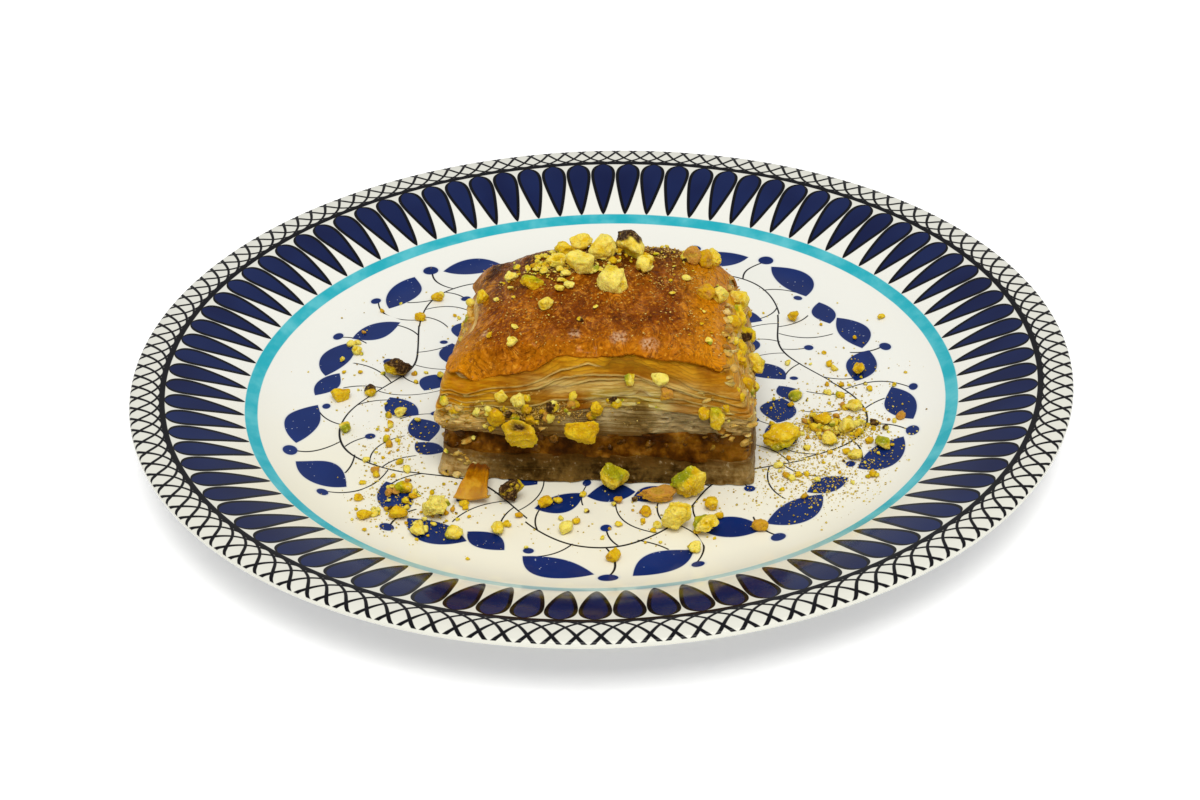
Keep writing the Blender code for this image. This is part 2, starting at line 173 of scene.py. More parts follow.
class Value:
    """A number, colour or vector that varies over a surface: one output of a material's nodes."""

    def __init__(self, tree, socket=None):
        self.tree = tree
        self.socket = socket

    def node(self, kind, settings, inputs, output=0):
        """Add a node: its settings first, then each input as a number, colour or linked Value."""
        made = self.tree.nodes.new(kind)
        for name, setting in settings.items():
            if name == "stops":
                ramp = made.color_ramp
                while len(ramp.elements) < len(setting):
                    ramp.elements.new(0.5)
                for element, (place, paint) in zip(ramp.elements, setting):
                    element.position = place
                    element.color = (*paint, 1.0)
            else:
                setattr(made, name, setting)
        for key, value in inputs.items():
            if isinstance(value, Value):
                self.tree.links.new(value.socket, made.inputs[key])
            else:
                made.inputs[key].default_value = value
        return Value(self.tree, made.outputs[output])

    def math(self, operation, *others):
        """A Math node on this value and others."""
        return self.node("ShaderNodeMath", {"operation": operation}, dict(enumerate((self, *others))))

    def __add__(self, other):
        return self.math("ADD", other)

    __radd__ = __add__

    def __sub__(self, other):
        return self.math("SUBTRACT", other)

    def __rsub__(self, other):
        return self.node("ShaderNodeMath", {"operation": "SUBTRACT"}, {0: other, 1: self})

    def __mul__(self, other):
        return self.math("MULTIPLY", other)

    __rmul__ = __mul__

    def __truediv__(self, other):
        return self.math("DIVIDE", other)

    def __rtruediv__(self, other):
        return self.node("ShaderNodeMath", {"operation": "DIVIDE"}, {0: other, 1: self})

    def __pow__(self, other):
        return self.math("POWER", other)

    def __abs__(self):
        return self.math("ABSOLUTE")

    def step(self, low, high):
        """A soft-edged mask: 0 at low, 1 at high."""
        settings = {"interpolation_type": "SMOOTHSTEP"}
        return self.node("ShaderNodeMapRange", settings, {0: self, 1: low, 2: high, 3: 0.0, 4: 1.0})

    def clouds(self, scale, detail=3.0, roughness=0.55, distortion=0.0):
        """Noise read at these coordinates, about 0 to 1."""
        inputs = {"Vector": self, "Scale": scale, "Detail": detail, "Roughness": roughness,
                  "Distortion": distortion}
        return self.node("ShaderNodeTexNoise", {}, inputs)

    def cells(self, scale):
        """Distance to the nearest of scattered points."""
        return self.node("ShaderNodeTexVoronoi", {}, {"Vector": self, "Scale": scale})

    def ramp(self, *stops):
        """Colours at places along 0 to 1."""
        return self.node("ShaderNodeValToRGB", {"stops": stops}, {0: self})

    def mix(self, first, second):
        """First colour where this mask is 0, second where it is 1."""
        first, second = [(*paint, 1.0) if isinstance(paint, tuple) else paint for paint in (first, second)]
        return self.node("ShaderNodeMix", {"data_type": "RGBA"}, {0: self, 6: first, 7: second}, 2)

    def coat(self, mask, paint):
        """This colour with another laid over it where the mask is 1."""
        return mask.mix(self, paint)

    def near(self, other, much):
        """This value led astray by `much` times the other's way from 0.5."""
        return self + (other - 0.5) * much

    def kept(self, name):
        """A number kept on the mesh's points under a name."""
        return self.node("ShaderNodeAttribute", {"attribute_name": name}, {}, 2)

    def stretch(self, x, y, z):
        """These coordinates scaled along each axis."""
        return self.node("ShaderNodeVectorMath", {"operation": "MULTIPLY"}, {0: self, 1: (x, y, z)})

    def split(self):
        """The x, y and z of a vector."""
        return [self.node("ShaderNodeSeparateXYZ", {}, {0: self}, axis) for axis in range(3)]


def new_finish(name, constants):
    """A Principled material with its constants set; returns it and its Object coordinates,
    which are world places for pieces left at the origin."""
    made = bpy.data.materials.new(name)
    made.use_nodes = True
    shader = made.node_tree.nodes["Principled BSDF"]
    for socket, value in constants.items():
        shader.inputs[socket].default_value = value
    return made, Value(made.node_tree).node("ShaderNodeTexCoord", {}, {}, 3)


def surface(made, paint, roughness=None, coat=None, height=None, depth=0.0, strength=0.9):
    """Feed a finish its colour and what else varies. A height from 0 to 1 becomes a bump that
    is depth metres deep."""
    fed = {"Base Color": paint, "Roughness": roughness, "Coat Weight": coat}
    if height:
        inputs = {"Height": height, "Distance": depth, "Strength": strength}
        fed["Normal"] = height.node("ShaderNodeBump", {}, inputs)
    shader = made.node_tree.nodes["Principled BSDF"]
    for socket, value in fed.items():
        if value:
            made.node_tree.links.new(value.socket, shader.inputs[socket])
    return made


print("shader helpers ready")

# %% [markdown]
# ## The plate
# The real plate is thrown or pressed china, so it is one section turned about its middle. A
# lathe does that, and so does a formula: each radius has a height, repeated round the circle.
# The section follows the solid plate's, with more points where it bends.

# %% The plate's section, in metres
FLOOR_TOP = 0.005
FLOOR_RADIUS = 0.067
WELL_RADIUS = 0.08
WELL_BEND = 21.0
SIDE_SLOPE = 0.5
SIDE_BEND = 7.67
SIDE_END = 0.0975
CREST = (0.1015, 0.01545)
LIP_RADIUS = 0.0009
LIP_CENTRE = (0.1036, 0.0145)
UNDERSIDE = ((0.099, 0.0119), (0.09, 0.0084), (0.08, 0.0043), (0.072, 0.0022), (0.064, 0.0017))
FOOT_OUTER = 0.0625
FOOT_INNER = 0.0575
UNDER_FLOOR = 0.0015
PLATE_STEPS = 256


def well_height(radius):
    """Flat to the floor's edge, then WELL_BEND times the square of the way past it, then a
    side that starts at SIDE_SLOPE and flattens."""
    bend = np.clip(radius, FLOOR_RADIUS, WELL_RADIUS) - FLOOR_RADIUS
    past = np.clip(radius - WELL_RADIUS, 0.0, None)
    return FLOOR_TOP + WELL_BEND * bend ** 2 + SIDE_SLOPE * past - SIDE_BEND * past ** 2


def curve_through(points, steps):
    """A smooth path through points: each stretch blends its ends with slopes read from neighbours."""
    points = np.array(points)
    before = np.vstack([2 * points[0] - points[1], points[:-1]])
    after = np.vstack([points[1:], 2 * points[-1] - points[-2]])
    slope = (after - before) / 2.0
    t = np.linspace(0.0, 1.0, steps, endpoint=False)[:, None]
    path = [(2 * t ** 3 - 3 * t ** 2 + 1) * points[i] + (t ** 3 - 2 * t ** 2 + t) * slope[i]
            + (3 * t ** 2 - 2 * t ** 3) * points[i + 1] + (t ** 3 - t ** 2) * slope[i + 1]
            for i in range(len(points) - 1)]
    return np.vstack([*path, points[-1:]])


def plate_section():
    """The half section from the middle of the top, over the rim, and back to the middle below."""
    flat = np.linspace(0.006, 0.06, 10)
    bent = np.concatenate([flat, np.linspace(0.062, SIDE_END, 44)])
    top = np.stack([bent, well_height(bent)], -1)
    angle = np.radians(np.linspace(90, -90, 15))
    lip = LIP_CENTRE + LIP_RADIUS * np.stack([np.cos(angle), np.sin(angle)], -1)
    rim = curve_through([top[-1], CREST, lip[0]], 6)[1:-1]
    under = curve_through([lip[-1], *UNDERSIDE], 5)[1:]
    foot = [(FOOT_OUTER + 0.0004, 0.0009), (FOOT_OUTER, 0.0003), (FOOT_OUTER - 0.0004, 0.0),
            (FOOT_INNER + 0.0004, 0.0), (FOOT_INNER, 0.0003), (FOOT_INNER - 0.0004, 0.0011),
            (FOOT_INNER - UNDER_FLOOR, UNDER_FLOOR), (0.02, UNDER_FLOOR)]
    return np.vstack([top, rim, lip, under, foot])


def turned(name, section, steps, centre_top, centre_under, finish):
    """Turn a section about Z; rows run from below to above so that faces point outwards."""
    angle = np.linspace(0.0, 2.0 * math.pi, steps, endpoint=False)
    ring = section[::-1]
    rings = np.stack([ring[:, :1] * np.cos(angle), ring[:, :1] * np.sin(angle),
                      np.repeat(ring[:, 1:], steps, axis=1)], -1)
    return ring_skin(name, rings, (0.0, 0.0, centre_under), (0.0, 0.0, centre_top), finish)


section = plate_section()
print("plate section", len(section), "points, radius to", round(section[:, 0].max(), 4))

# %% [markdown]
# The paint is laid out the way a china painter bands a plate on a wheel: every motif is a rule
# on the radius r and on the angle. A repeated motif is the fraction of angle x count, so one
# drop drawn once appears ninety times. All lengths here are millimetres on the glaze.

# %% Rings, drops and crossed net round the rim
DROPS = 90
DROP_TIP, DROP_END = 80.05, 96.85
DROP_OUTLINE = 0.85
NET_LINES = 142
NET_START, NET_EDGE = 97.3, 104.3
NET_STROKE = 0.44
TURQUOISE_RING = (77.35, 80.05)
DARK_RING = (96.75, 98.0)
INK = (0.003, 0.003, 0.005)
NAVY = (0.004, 0.009, 0.055)
COBALT = (0.004, 0.017, 0.108)
TURQUOISE = (0.02, 0.42, 0.5)
PALE_TURQUOISE = (0.12, 0.56, 0.62)
CREAM_WHITE = (0.86, 0.855, 0.78)
# painted light: the warm glow that the slice bounces onto the glaze in front of it
BOUNCED_WARM_WHITE = (0.84, 0.805, 0.65)
# painted shade: the rim's white, darker and greyer than the well's
SHADED_RIM_WHITE = (0.725, 0.72, 0.64)


def band(value, low, high, soft=0.08):
    """A mask that is 1 between low and high."""
    return value.step(low - soft, low + soft) * (1 - value.step(high - soft, high + soft))


def drop_masks(radius, turns):
    """The drops: width as a share of the pitch is 1.29 q^0.6 sqrt(1 - q^6), with q the share of
    the way from tip to round end. Returns masks of the outlined drop and of its blue inside."""
    q = ((radius - DROP_TIP) / (DROP_END - DROP_TIP)).math("MAXIMUM", 0.0).math("MINIMUM", 1.0)
    width = 1.29 * q ** 0.6 * (1 - q ** 6) ** 0.5
    aside = abs((turns * DROPS + 0.38).math("FRACT") - 0.5) * 2
    edge = (width - aside) * radius * (math.pi / DROPS)
    inside = band(radius, DROP_TIP, DROP_END)
    return edge.step(-0.08, 0.08) * inside, edge.step(DROP_OUTLINE - 0.1, DROP_OUTLINE + 0.1) * inside


def net_mask(radius, turns):
    """Two families of strokes that cross three times on their way in from the edge: angle x
    count = k + or - (0.245 + 0.15 d + 0.0000083 d^6), with d the way in. The brush starts at
    the edge, where it is widest."""
    way = NET_EDGE - radius
    lean = way * 0.15 + way ** 6 * 0.0000083 + 0.245
    slope = way ** 5 * 0.0000498 + 0.15
    pitch = radius * (2 * math.pi / NET_LINES)
    narrow = ((slope * pitch) ** 2 + 1) ** -0.5
    width = NET_STROKE - way * 0.026
    strokes = []
    for sign in (1, -1):
        aside = abs((turns * NET_LINES + lean * sign + 10.835).math("FRACT") - 0.5)
        strokes.append(1 - (aside * pitch * narrow - width).step(-0.08, 0.08))
    inner = radius.step(NET_START - 0.08, NET_START + 0.08)
    return strokes[0].math("MAXIMUM", strokes[1]) * way.step(-0.65, -0.45) * inner


# %% [markdown]
# The middle of the plate carries a scrolling vine: a wavy stem that swings in and out round the
# well, with almond leaves and round buds on both sides. The wave repeats, and every second
# half wave is the first turned over, so one half wave is drawn and the angle is folded onto it.
# A little noise in the coordinates keeps the brushwork from looking stamped.

# %% The vine in the well
VINE_RADIUS = 53.0
HALF_WAVES = 10
HALF_WAVE = 2 * math.pi * VINE_RADIUS / HALF_WAVES
VINE_SWING = 8.0
LEAVES = (                       # out, along, angle in degrees, half length, half width, bend
    (15.2, 8.0, 66.0, 6.6, 3.8, 0.022), (14.6, 25.0, 118.0, 6.2, 3.7, -0.024),
    (-7.6, 6.2, -58.0, 6.2, 3.5, -0.022), (-11.5, 18.6, -88.0, 6.6, 3.8, 0.02),
    (-9.4, 28.2, -66.0, 4.6, 2.7, -0.02),
)
BUDS = ((18.6, 16.4, 1.5), (-15.6, 11.4, 1.3), (1.4, 16.8, 1.2), (17.6, 30.4, 1.1), (9.6, 3.0, 1.0))
STEMS = (                        # out and along of each end of a thin stalk
    (8.0, 16.6, 18.0, 16.4), (6.4, 10.6, 11.2, 5.0), (6.4, 22.4, 10.8, 27.0),
    (2.4, 3.2, -4.8, 1.8), (4.6, 26.4, -6.4, 19.6), (-7.0, 11.4, -14.6, 11.4),
    (7.6, 18.8, 2.2, 16.9), (3.0, 29.2, -5.8, 29.4), (2.2, 30.6, 16.8, 30.4),
)


def leaf_edge(out, along, leaf):
    """An almond: how far a place is inside half width x (1 - (a / half length)^2), measured
    across a midrib that bends by bend x a^2."""
    at_out, at_along, degrees, length, width, bend = leaf
    turn = math.radians(degrees)
    p, q = out - at_out, along - at_along
    a = p * math.cos(turn) + q * math.sin(turn)
    b = q * math.cos(turn) - p * math.sin(turn)
    full = 1 - (a / length) ** 2
    return full * width - abs(b - a * a * bend)


def stroke(out, along, stem, width):
    """A thin stalk: distance to the line between its ends, cut off past them."""
    x0, y0, x1, y1 = stem
    reach = math.hypot(x1 - x0, y1 - y0)
    cx, cy = (x1 - x0) / reach, (y1 - y0) / reach
    p, q = out - x0, along - y0
    a = p * cx + q * cy
    b = abs(q * cx - p * cy + a * (a - reach) * 0.05)
    return (1 - b.step(width * 0.6, width * 1.5)) * a.step(-0.2, 0.2) * (1 - a.step(reach - 0.2, reach + 0.2))


def vine_masks(where, radius, turns):
    """Masks of the blue shapes, their pale halo, and the ink lines of the scrolling vine."""
    wobble = where.clouds(38.0, 1.0) - 0.5
    waver = where.stretch(1.0, -1.0, 1.0).clouds(30.0, 1.0) - 0.5
    half = turns * HALF_WAVES + 14
    which = half.math("FLOOR")
    odd = (which * 0.5).math("FRACT") * 2
    flip = 1 - odd.step(0.4, 0.6) * 2
    out = (radius - VINE_RADIUS) * flip + wobble * 3.2
    along = half.math("FRACT") * HALF_WAVE + waver * 3.0
    blue = None
    for leaf in LEAVES:
        edge = leaf_edge(out, along, leaf)
        blue = edge if blue is None else blue.math("MAXIMUM", edge)
    for at_out, at_along, size in BUDS:
        edge = size - ((out - at_out) ** 2 + (along - at_along) ** 2) ** 0.5
        blue = blue.math("MAXIMUM", edge)
    swing = out - (along * (math.pi / HALF_WAVE)).math("SINE") * VINE_SWING
    ink = 1 - abs(swing).step(0.16, 0.34)
    for stem in STEMS:
        ink = ink.math("MAXIMUM", stroke(out, along, stem, 0.18))
    well = band(radius, 31.0, 75.5, 0.3)
    return blue.step(-0.08, 0.1) * well, blue.step(-0.55, -0.05) * well, ink * well


print("vine half wave", round(HALF_WAVE, 1), "mm")

# %% [markdown]
# Glaze over the paint makes one smooth glossy skin. Its white is a little warm, the turquoise
# band is watery because the colour ran in the firing, and tiny pinholes show white in the
# blue. A coat of clear gloss is not needed: low roughness on the one shader is the glaze.

# %% Paint the plate


def plate_finish():
    """White in three tones under the vine: cream, a warmer white in front that is painted light
    bounced from the slice, and a darker, greyer rim white that is painted shade. Then the
    turquoise ring, paled in front by a painted reflection, the drops and the net.
    """
    made, where = new_finish("painted_glaze", {"Roughness": 0.12, "Specular IOR Level": 0.13})
    x, y, z = where.split()
    x, y = x * 1000, y * 1000
    radius = (x * x + y * y) ** 0.5
    turns = y.math("ARCTAN2", x) / (2 * math.pi) + 0.5
    uneven = radius.near(where.clouds(90.0, 2.0), 0.2)
    # The front of the plate is painted warmer: painted light bounced from the slice.
    paint = (1 - y.near(where.clouds(22.0, 2.0), 90).step(-60.0, 10.0)).mix(CREAM_WHITE, BOUNCED_WARM_WHITE)
    # From 84 mm out the white is painted darker and greyer: painted shade on the rim.
    paint = paint.coat(radius.step(84.0, 98.0) * 0.9, SHADED_RIM_WHITE)

    blue, halo, ink = vine_masks(where, radius, turns)
    leaf_blue = where.clouds(60.0, 3.0).step(0.3, 0.75).mix(COBALT, (0.006, 0.026, 0.15))
    paint = paint.coat(halo * 0.22, (0.3, 0.4, 0.62)).coat(ink, INK).coat(blue, leaf_blue)

    turquoise = where.clouds(120.0, 3.0, 0.6).step(0.35, 0.75).mix(TURQUOISE, PALE_TURQUOISE)
    # This mask pales the turquoise towards the front: a painted reflection on the glaze there.
    thin = (1 - y.step(-72.0, -56.0)) * 0.45
    paint = paint.coat(band(uneven, *TURQUOISE_RING, 0.12) * (1 - thin), turquoise)

    drop, inside = drop_masks(radius, turns)
    drop_blue = where.clouds(45.0, 2.0).step(0.3, 0.7).mix(NAVY, (0.008, 0.018, 0.085))
    below_lip = ((LIP_CENTRE[1] + LIP_RADIUS) * 1000 - z * 1000).math("MAXIMUM", 0.0)
    net = net_mask(radius + below_lip * radius.step(103.4, 103.6), turns)
    paint = paint.coat(drop, INK).coat(inside, drop_blue).coat(band(uneven, *DARK_RING), INK).coat(net, INK)

    pinhole = (1 - where.cells(900.0).step(0.1, 0.16)) * blue * where.clouds(300.0).step(0.52, 0.6)
    paint = z.step(0.0004, 0.0012).mix((0.6, 0.56, 0.48), paint.coat(pinhole, (0.45, 0.5, 0.58)))
    return surface(made, paint, height=where.clouds(35.0, 2.0), depth=0.0006, strength=0.12)


plate = turned("painted_plate", section, PLATE_STEPS, FLOOR_TOP, UNDER_FLOOR, plate_finish())
dress(plate, "white_glaze", "plate")

# %% [markdown]
# ## The slice
# A baklava square is baked in a tray and cut with a knife, so its sides are sections through
# pressed sheets, a nut filling, and a tall stack of flaky sheets that rises to a browned
# dome. The form is shared by all its pieces, so it comes first: how far each side leans in at
# each height, and how high each layer ends.

# %% The slice's frame and outline, in metres, with (height, inset) pairs in mm
SLICE_CENTRE = (0.00115, -0.01125)
SLICE_TURN = math.radians(-6.5)
HALF_WIDTH = 0.0334
HALF_DEPTH = 0.025
CORNER_POWER = 26.0
CAP_RINGS = 7                    # rings that close a block's top and bottom
GAP = 0.0003
LEFT_PINCH = 0.0016
LEFT_FLARE = 0.001
FRONT_FOLD = 0.0031              # how far the crust folds down over the front, left of the middle
BASE_TOP = 0.0057
FILLING_TOP = 0.0112
CRUST_CREST = 0.0343
CREST_ALONG = 0.002
CREST_BACK = 0.014
CRUST_FRONT = -0.0225
CRUST_REAR = 0.0225
RISE_FRONT = 0.0038
FALL_REAR = 0.0055
DROOP_FRONT = 0.0032
DROOP_REAR = 0.006
LEFT_INSET = ((0.0, -0.6), (6.0, 0.2), (10.0, 0.5), (13.0, -0.8), (19.5, 0.9), (24.0, 2.8), (34.0, 5.0))
LEFT_INSET_BACK = ((0.0, 1.2), (10.0, 1.6), (13.0, 2.0), (22.0, 3.0), (34.0, 3.0))
RIGHT_INSET = ((0.0, -0.4), (6.0, 0.4), (10.0, 0.8), (14.0, -0.4), (17.0, 1.2), (22.0, 3.8), (34.0, 7.8))
RIGHT_INSET_BACK = ((0.0, 1.4), (10.0, 2.2), (14.0, 2.8), (22.0, 5.6), (34.0, 8.0))
FRONT_INSET = ((0.0, -1.4), (3.0, -0.6), (6.0, 0.3), (9.0, 0.9), (12.0, 0.4), (18.0, 0.9),
               (23.0, 1.6), (34.0, 3.2))
BACK_INSET = ((0.0, 0.0), (6.0, 0.5), (10.0, 0.8), (14.0, 0.2), (20.0, 1.2), (34.0, 3.6))


def in_slice(a, b, height):
    """World places for the slice's own a (along the front), b (to the back) and height."""
    cos, sin = math.cos(SLICE_TURN), math.sin(SLICE_TURN)
    a, b, height = np.broadcast_arrays(a, b, height)
    return np.stack([SLICE_CENTRE[0] + a * cos - b * sin, SLICE_CENTRE[1] + a * sin + b * cos,
                     FLOOR_TOP + height], -1)


def inset(pairs, height):
    """A side's lean at a height, by straight lines between its pairs."""
    heights, insets = zip(*in_metres(pairs))
    return np.interp(height, heights, insets)


def crust_height(a, b):
    """A low dome: it falls with the square of the way to the front and back, and with the cube
    of the way to the left and right."""
    forward = np.clip((b - CRUST_FRONT) / (CREST_BACK - CRUST_FRONT), 0.0, 1.0)
    front = RISE_FRONT * ((CREST_BACK - b) / (CREST_BACK - CRUST_FRONT)) ** 2
    rear = FALL_REAR * ((b - CREST_BACK) / (CRUST_REAR - CREST_BACK)) ** 2
    droop = DROOP_FRONT + (DROOP_REAR - DROOP_FRONT) * forward
    reach = np.where(a < CREST_ALONG, 0.027, 0.0248)
    return CRUST_CREST - np.where(b < CREST_BACK, front, rear) - droop * (abs(a - CREST_ALONG) / reach) ** 3


def base_height(a, b):
    """The pressed sheets' top: a gentle wave, lower to the right."""
    return BASE_TOP + 0.0003 * np.sin(a * 140 + 1.0) - 0.012 * a + 0.0002 * np.sin(b * 160)


def filling_height(a, b):
    """The filling's top: a wave of its own, higher to the right."""
    return FILLING_TOP + 0.0005 * np.sin(a * 120 - 0.6) + 0.018 * a + 0.0003 * np.sin(b * 190 + 2)


def bell(value, middle, width):
    """A bell curve: 1 at the middle, e^-1 at the width to each side."""
    return np.exp(-((value - middle) / width) ** 2)


def pinch(b, height):
    """The left side leans in more behind its middle and flares at the front corner, both only
    towards the top."""
    lean = LEFT_PINCH * bell(b, -0.005, 0.0085) - LEFT_FLARE * bell(b, -0.02, 0.0045)
    return lean * smooth(height, 0.018, 0.025)


def front_fold(a, t):
    """1 where the crust folds down over the left part of the front edge, 0 elsewhere."""
    return smooth(-a, 0.006, 0.015) * (1 - smooth(-a, 0.0265, 0.0315)) * smooth(-t, 0.86, 1.0)


def waver(a, b, shift):
    """How far the seam between two layers strays from its level: noise in two sizes."""
    where = np.stack(np.broadcast_arrays(a, b, 0.0), -1)
    return 0.00045 * noise(where, 0.006, shift) + 0.00022 * noise(where, 0.0022, shift + 2.0)


def footprint(s, t, height, bulge):
    """Places in the square s, t = -1 to 1 moved to the rounded, leaning outline at a height."""
    reach = np.maximum(abs(s), abs(t))
    safe = np.maximum(reach, 1e-9)
    power = (abs(s) / safe) ** CORNER_POWER + (abs(t) / safe) ** CORNER_POWER
    round_off = power ** (-1 / CORNER_POWER)
    back = (t + 1.0) / 2.0
    left = inset(LEFT_INSET, height) * (1 - back) + inset(LEFT_INSET_BACK, height) * back
    left = left + pinch(t * HALF_DEPTH, height)
    right = inset(RIGHT_INSET, height) * (1 - back) + inset(RIGHT_INSET_BACK, height) * back
    side = np.where(s < 0, left, right)
    end = np.where(t < 0, inset(FRONT_INSET, height), inset(BACK_INSET, height))
    swell = bulge * reach ** 8
    return s * round_off * (HALF_WIDTH - side + swell), t * round_off * (HALF_DEPTH - end + swell)


def block_points(s, t, level, bottom, top, relief):
    """Points of a block: level 0 is its bottom and 1 its top, and relief pushes its sides out."""
    a, b = s * HALF_WIDTH, t * HALF_DEPTH
    for _ in range(2):
        height = bottom(a, b) + (top(a, b) - bottom(a, b)) * level
        a, b = footprint(s, t, height, relief(a, b, height, level))
    height = bottom(a, b) + (top(a, b) - bottom(a, b)) * level
    return a, b, height


def around_square(count):
    """Places round the square's edge at even angles, counter-clockwise."""
    angle = np.linspace(0.0, 2.0 * math.pi, count, endpoint=False) + 0.01
    s, t = np.cos(angle), np.sin(angle)
    reach = np.maximum(abs(s), abs(t))
    return s / reach, t / reach


def block_skin(name, count, rows, bottom, top, relief, finish):
    """A closed block: bottom rings from the middle out, side rows, and top rings back in."""
    s, t = around_square(count)
    shrink = np.linspace(0.15, 0.985, CAP_RINGS)
    scale = np.concatenate([shrink, np.ones(rows), shrink[::-1]])[:, None]
    level = np.concatenate([np.zeros(CAP_RINGS), np.linspace(0.0, 1.0, rows), np.ones(CAP_RINGS)])[:, None]
    a, b, height = block_points(s * scale, t * scale, level + 0 * s, bottom, top, relief)
    rings = in_slice(a, b, height)
    low = in_slice(0.0, 0.0, bottom(0.0, 0.0))
    high = in_slice(0.0, 0.0, top(0.0, 0.0))
    return ring_skin(name, rings, low, high, finish)


print("crust crest", CRUST_CREST * 1000, "mm above the plate's floor")

# %% [markdown]
# ### The pressed base and the filling
# The bottom sheets are soaked and pressed until they read as one dense, moist band, a little
# translucent, with faint lines. Fine horizontal waves in the side and a constant amount of
# subsurface light give that. The filling is dark syrup and chopped nuts: a lumpy core here,
# with real nut pieces set into its faces further on.

# %% Base and filling
SYRUP_TINT = (1.0, 0.55, 0.16, 1.0)
PASTRY_DEPTH = (0.002, 0.0011, 0.0005)
OVERLAP = 0.0004                 # how far each block sinks into the one below


def base_top(a, b):
    """The pressed sheets' top, with the waver of a seam."""
    return base_height(a, b) + waver(a, b, 21.0)


def filling_top(a, b):
    """The filling's top, with a waver of its own."""
    return filling_height(a, b) + waver(a, b, 25.0)


def ledges(where, count, long, short):
    """Each sheet ends at its own distance: noise along the face, drawn anew for every whole
    number of the sheet count, so neighbours step past each other."""
    sheet = np.floor(count)
    at_long = np.stack([where[..., 0] / long, where[..., 1] / long, sheet * 1.7], -1)
    at_short = np.stack([where[..., 0] / short, where[..., 1] / short, sheet * 2.3], -1)
    groove = abs(2.0 * (count - sheet) - 1.0) ** 5
    return 0.6 * noise(at_long, 1.0, 3.0) + 0.4 * noise(at_short, 1.0, 9.0), groove


def base_relief(a, b, height, level):
    """Slow swells and faint soaked sheets; the foot spreads unevenly over the plate."""
    where = np.stack([a, b, height], -1)
    count = height / 0.0006 + 1.4 * noise(where, 0.009, 2.0) + 0.6 * noise(where, 0.003, 5.0)
    uneven, groove = ledges(where, count, 0.0045, 0.0016)
    swell = 0.0005 * noise(where, 0.0065) + 0.00018 * noise(where, 0.002, 3.0)
    foot = 0.0006 * noise(where * [1, 1, 0], 0.006, 14.0) * (1 - smooth(level, 0.0, 0.4))
    crinkle = 0.5 - 2.0 * abs(noise(where * [1.0, 1.0, 1.5], 0.0022, 11.0))
    crinkle = crinkle + 0.6 * noise(where * [1.0, 1.0, 1.4], 0.001, 12.0)
    return swell + foot + 0.00006 * uneven - 0.00003 * groove + 0.00016 * crinkle


def filling_relief(a, b, height, level):
    """Lumps of chopped nut in three sizes; at the front's left end the paste has shrunk back
    and left a dark gap."""
    where = np.stack([a, b, height], -1)
    lumps = 0.00055 * noise(where, 0.0036, 1.0) + 0.00028 * noise(where, 0.0016, 2.0)
    gap = 0.0011 * bell(a, -0.0262, 0.0038) * smooth(-b, 0.015, 0.02) * smooth(level, 0.2, 0.6)
    return lumps + 0.0001 * noise(where, 0.0007, 4.0) - gap - 0.0002


def food_finish(name, *skin, more=()):
    """A new finish with the warm sheen that syrup gives to everything it soaks. The skin is
    how much light goes in, how deep each colour of it goes, and how dull the coat is."""
    sockets = ("Subsurface Weight", "Subsurface Radius", "Coat Roughness")
    return new_finish(name, {"Specular Tint": SYRUP_TINT, "Specular IOR Level": 0.2, "Subsurface Scale": 1.0,
                             **dict(zip(sockets, skin)), **dict(more)})


def base_finish():
    """Soaked sheets: grey-brown and dim in the middle of the front, paler at the ends."""
    made, where = food_finish("soaked_pastry", 0.35, PASTRY_DEPTH, 0.1)
    x, _, z = where.split()
    lines = where.stretch(90.0, 90.0, 1300.0).clouds(1.0, 3.0, 0.55, 0.8)
    patch = where.clouds(230.0, 4.0, 0.65)
    fine = where.clouds(900.0, 3.0, 0.6)
    mood = (lines * 0.2 + patch * 0.5 + fine * 0.3).step(0.38, 0.62)
    side = x.near(patch, 0.012)
    ends = (1 - side.step(-0.03, -0.02)).math("MAXIMUM", side.step(0.016, 0.031) * 0.48)
    stain = z.near(patch, 0.006).step(0.008, 0.0108)
    glint = fine.step(0.6, 0.74)
    paint = mood.mix((0.028, 0.011, 0.0008), (0.165, 0.09, 0.019))
    paint = paint.coat(ends, mood.mix((0.23, 0.11, 0.012), (0.56, 0.39, 0.15)))
    paint = paint.coat(stain * 0.75, (0.085, 0.032, 0.003)).coat(glint * 0.45, (0.48, 0.37, 0.21))
    return surface(made, paint, 0.28 + patch * 0.25, glint * 0.35, lines * 0.2 + fine * 0.8, 0.00034)


base = block_skin("base_sheets", 560, 56, lambda a, b: GAP + 0 * a, base_top, base_relief, base_finish())
dress(base, "pressed_pastry", "base_layers")

# %% The dark core of the filling


def filling_finish():
    """Syrup-dark paste: near black brown to amber, wet, with small pale grains."""
    made, where = food_finish("dark_filling", 0.2, (0.0018, 0.0007, 0.0002), 0.08)
    patch = where.clouds(210.0, 4.0, 0.6)
    amber = where.split()[0].near(patch, 0.012).step(0.018, 0.03)
    grain = (1 - where.cells(1100.0).step(0.22, 0.34)) * patch.step(0.52, 0.64)
    paint = patch.ramp((0.36, (0.026, 0.005, 0.0002)), (0.48, (0.08, 0.022, 0.0005)),
                       (0.58, (0.19, 0.066, 0.002)), (0.7, (0.36, 0.155, 0.01)))
    paint = paint.coat(amber * 0.45, (0.26, 0.1, 0.004)).coat(grain * 0.4, (0.36, 0.2, 0.03))
    return surface(made, paint, 0.25 + patch * 0.3, patch.step(0.52, 0.68) * 0.25,
                   where.clouds(700.0, 4.0), 0.0005, 0.8)


filling = block_skin("filling_core", 560, 40, lambda a, b: base_top(a, b) - OVERLAP, filling_top,
                     filling_relief, filling_finish())
dress(filling, "nut_filling", "nut_filling")

# %% [markdown]
# ### The flaky stack
# Above the filling the cut shows dozens of paper-thin sheets. The lower ones are soaked and
# pressed into a grey-gold band with faint lines. The upper ones have opened, and hang one
# over the other like shingles turned upside down. The pressed band is a block with ledges,
# and the opened sheets are ribbons round a core that keeps out of sight behind them.

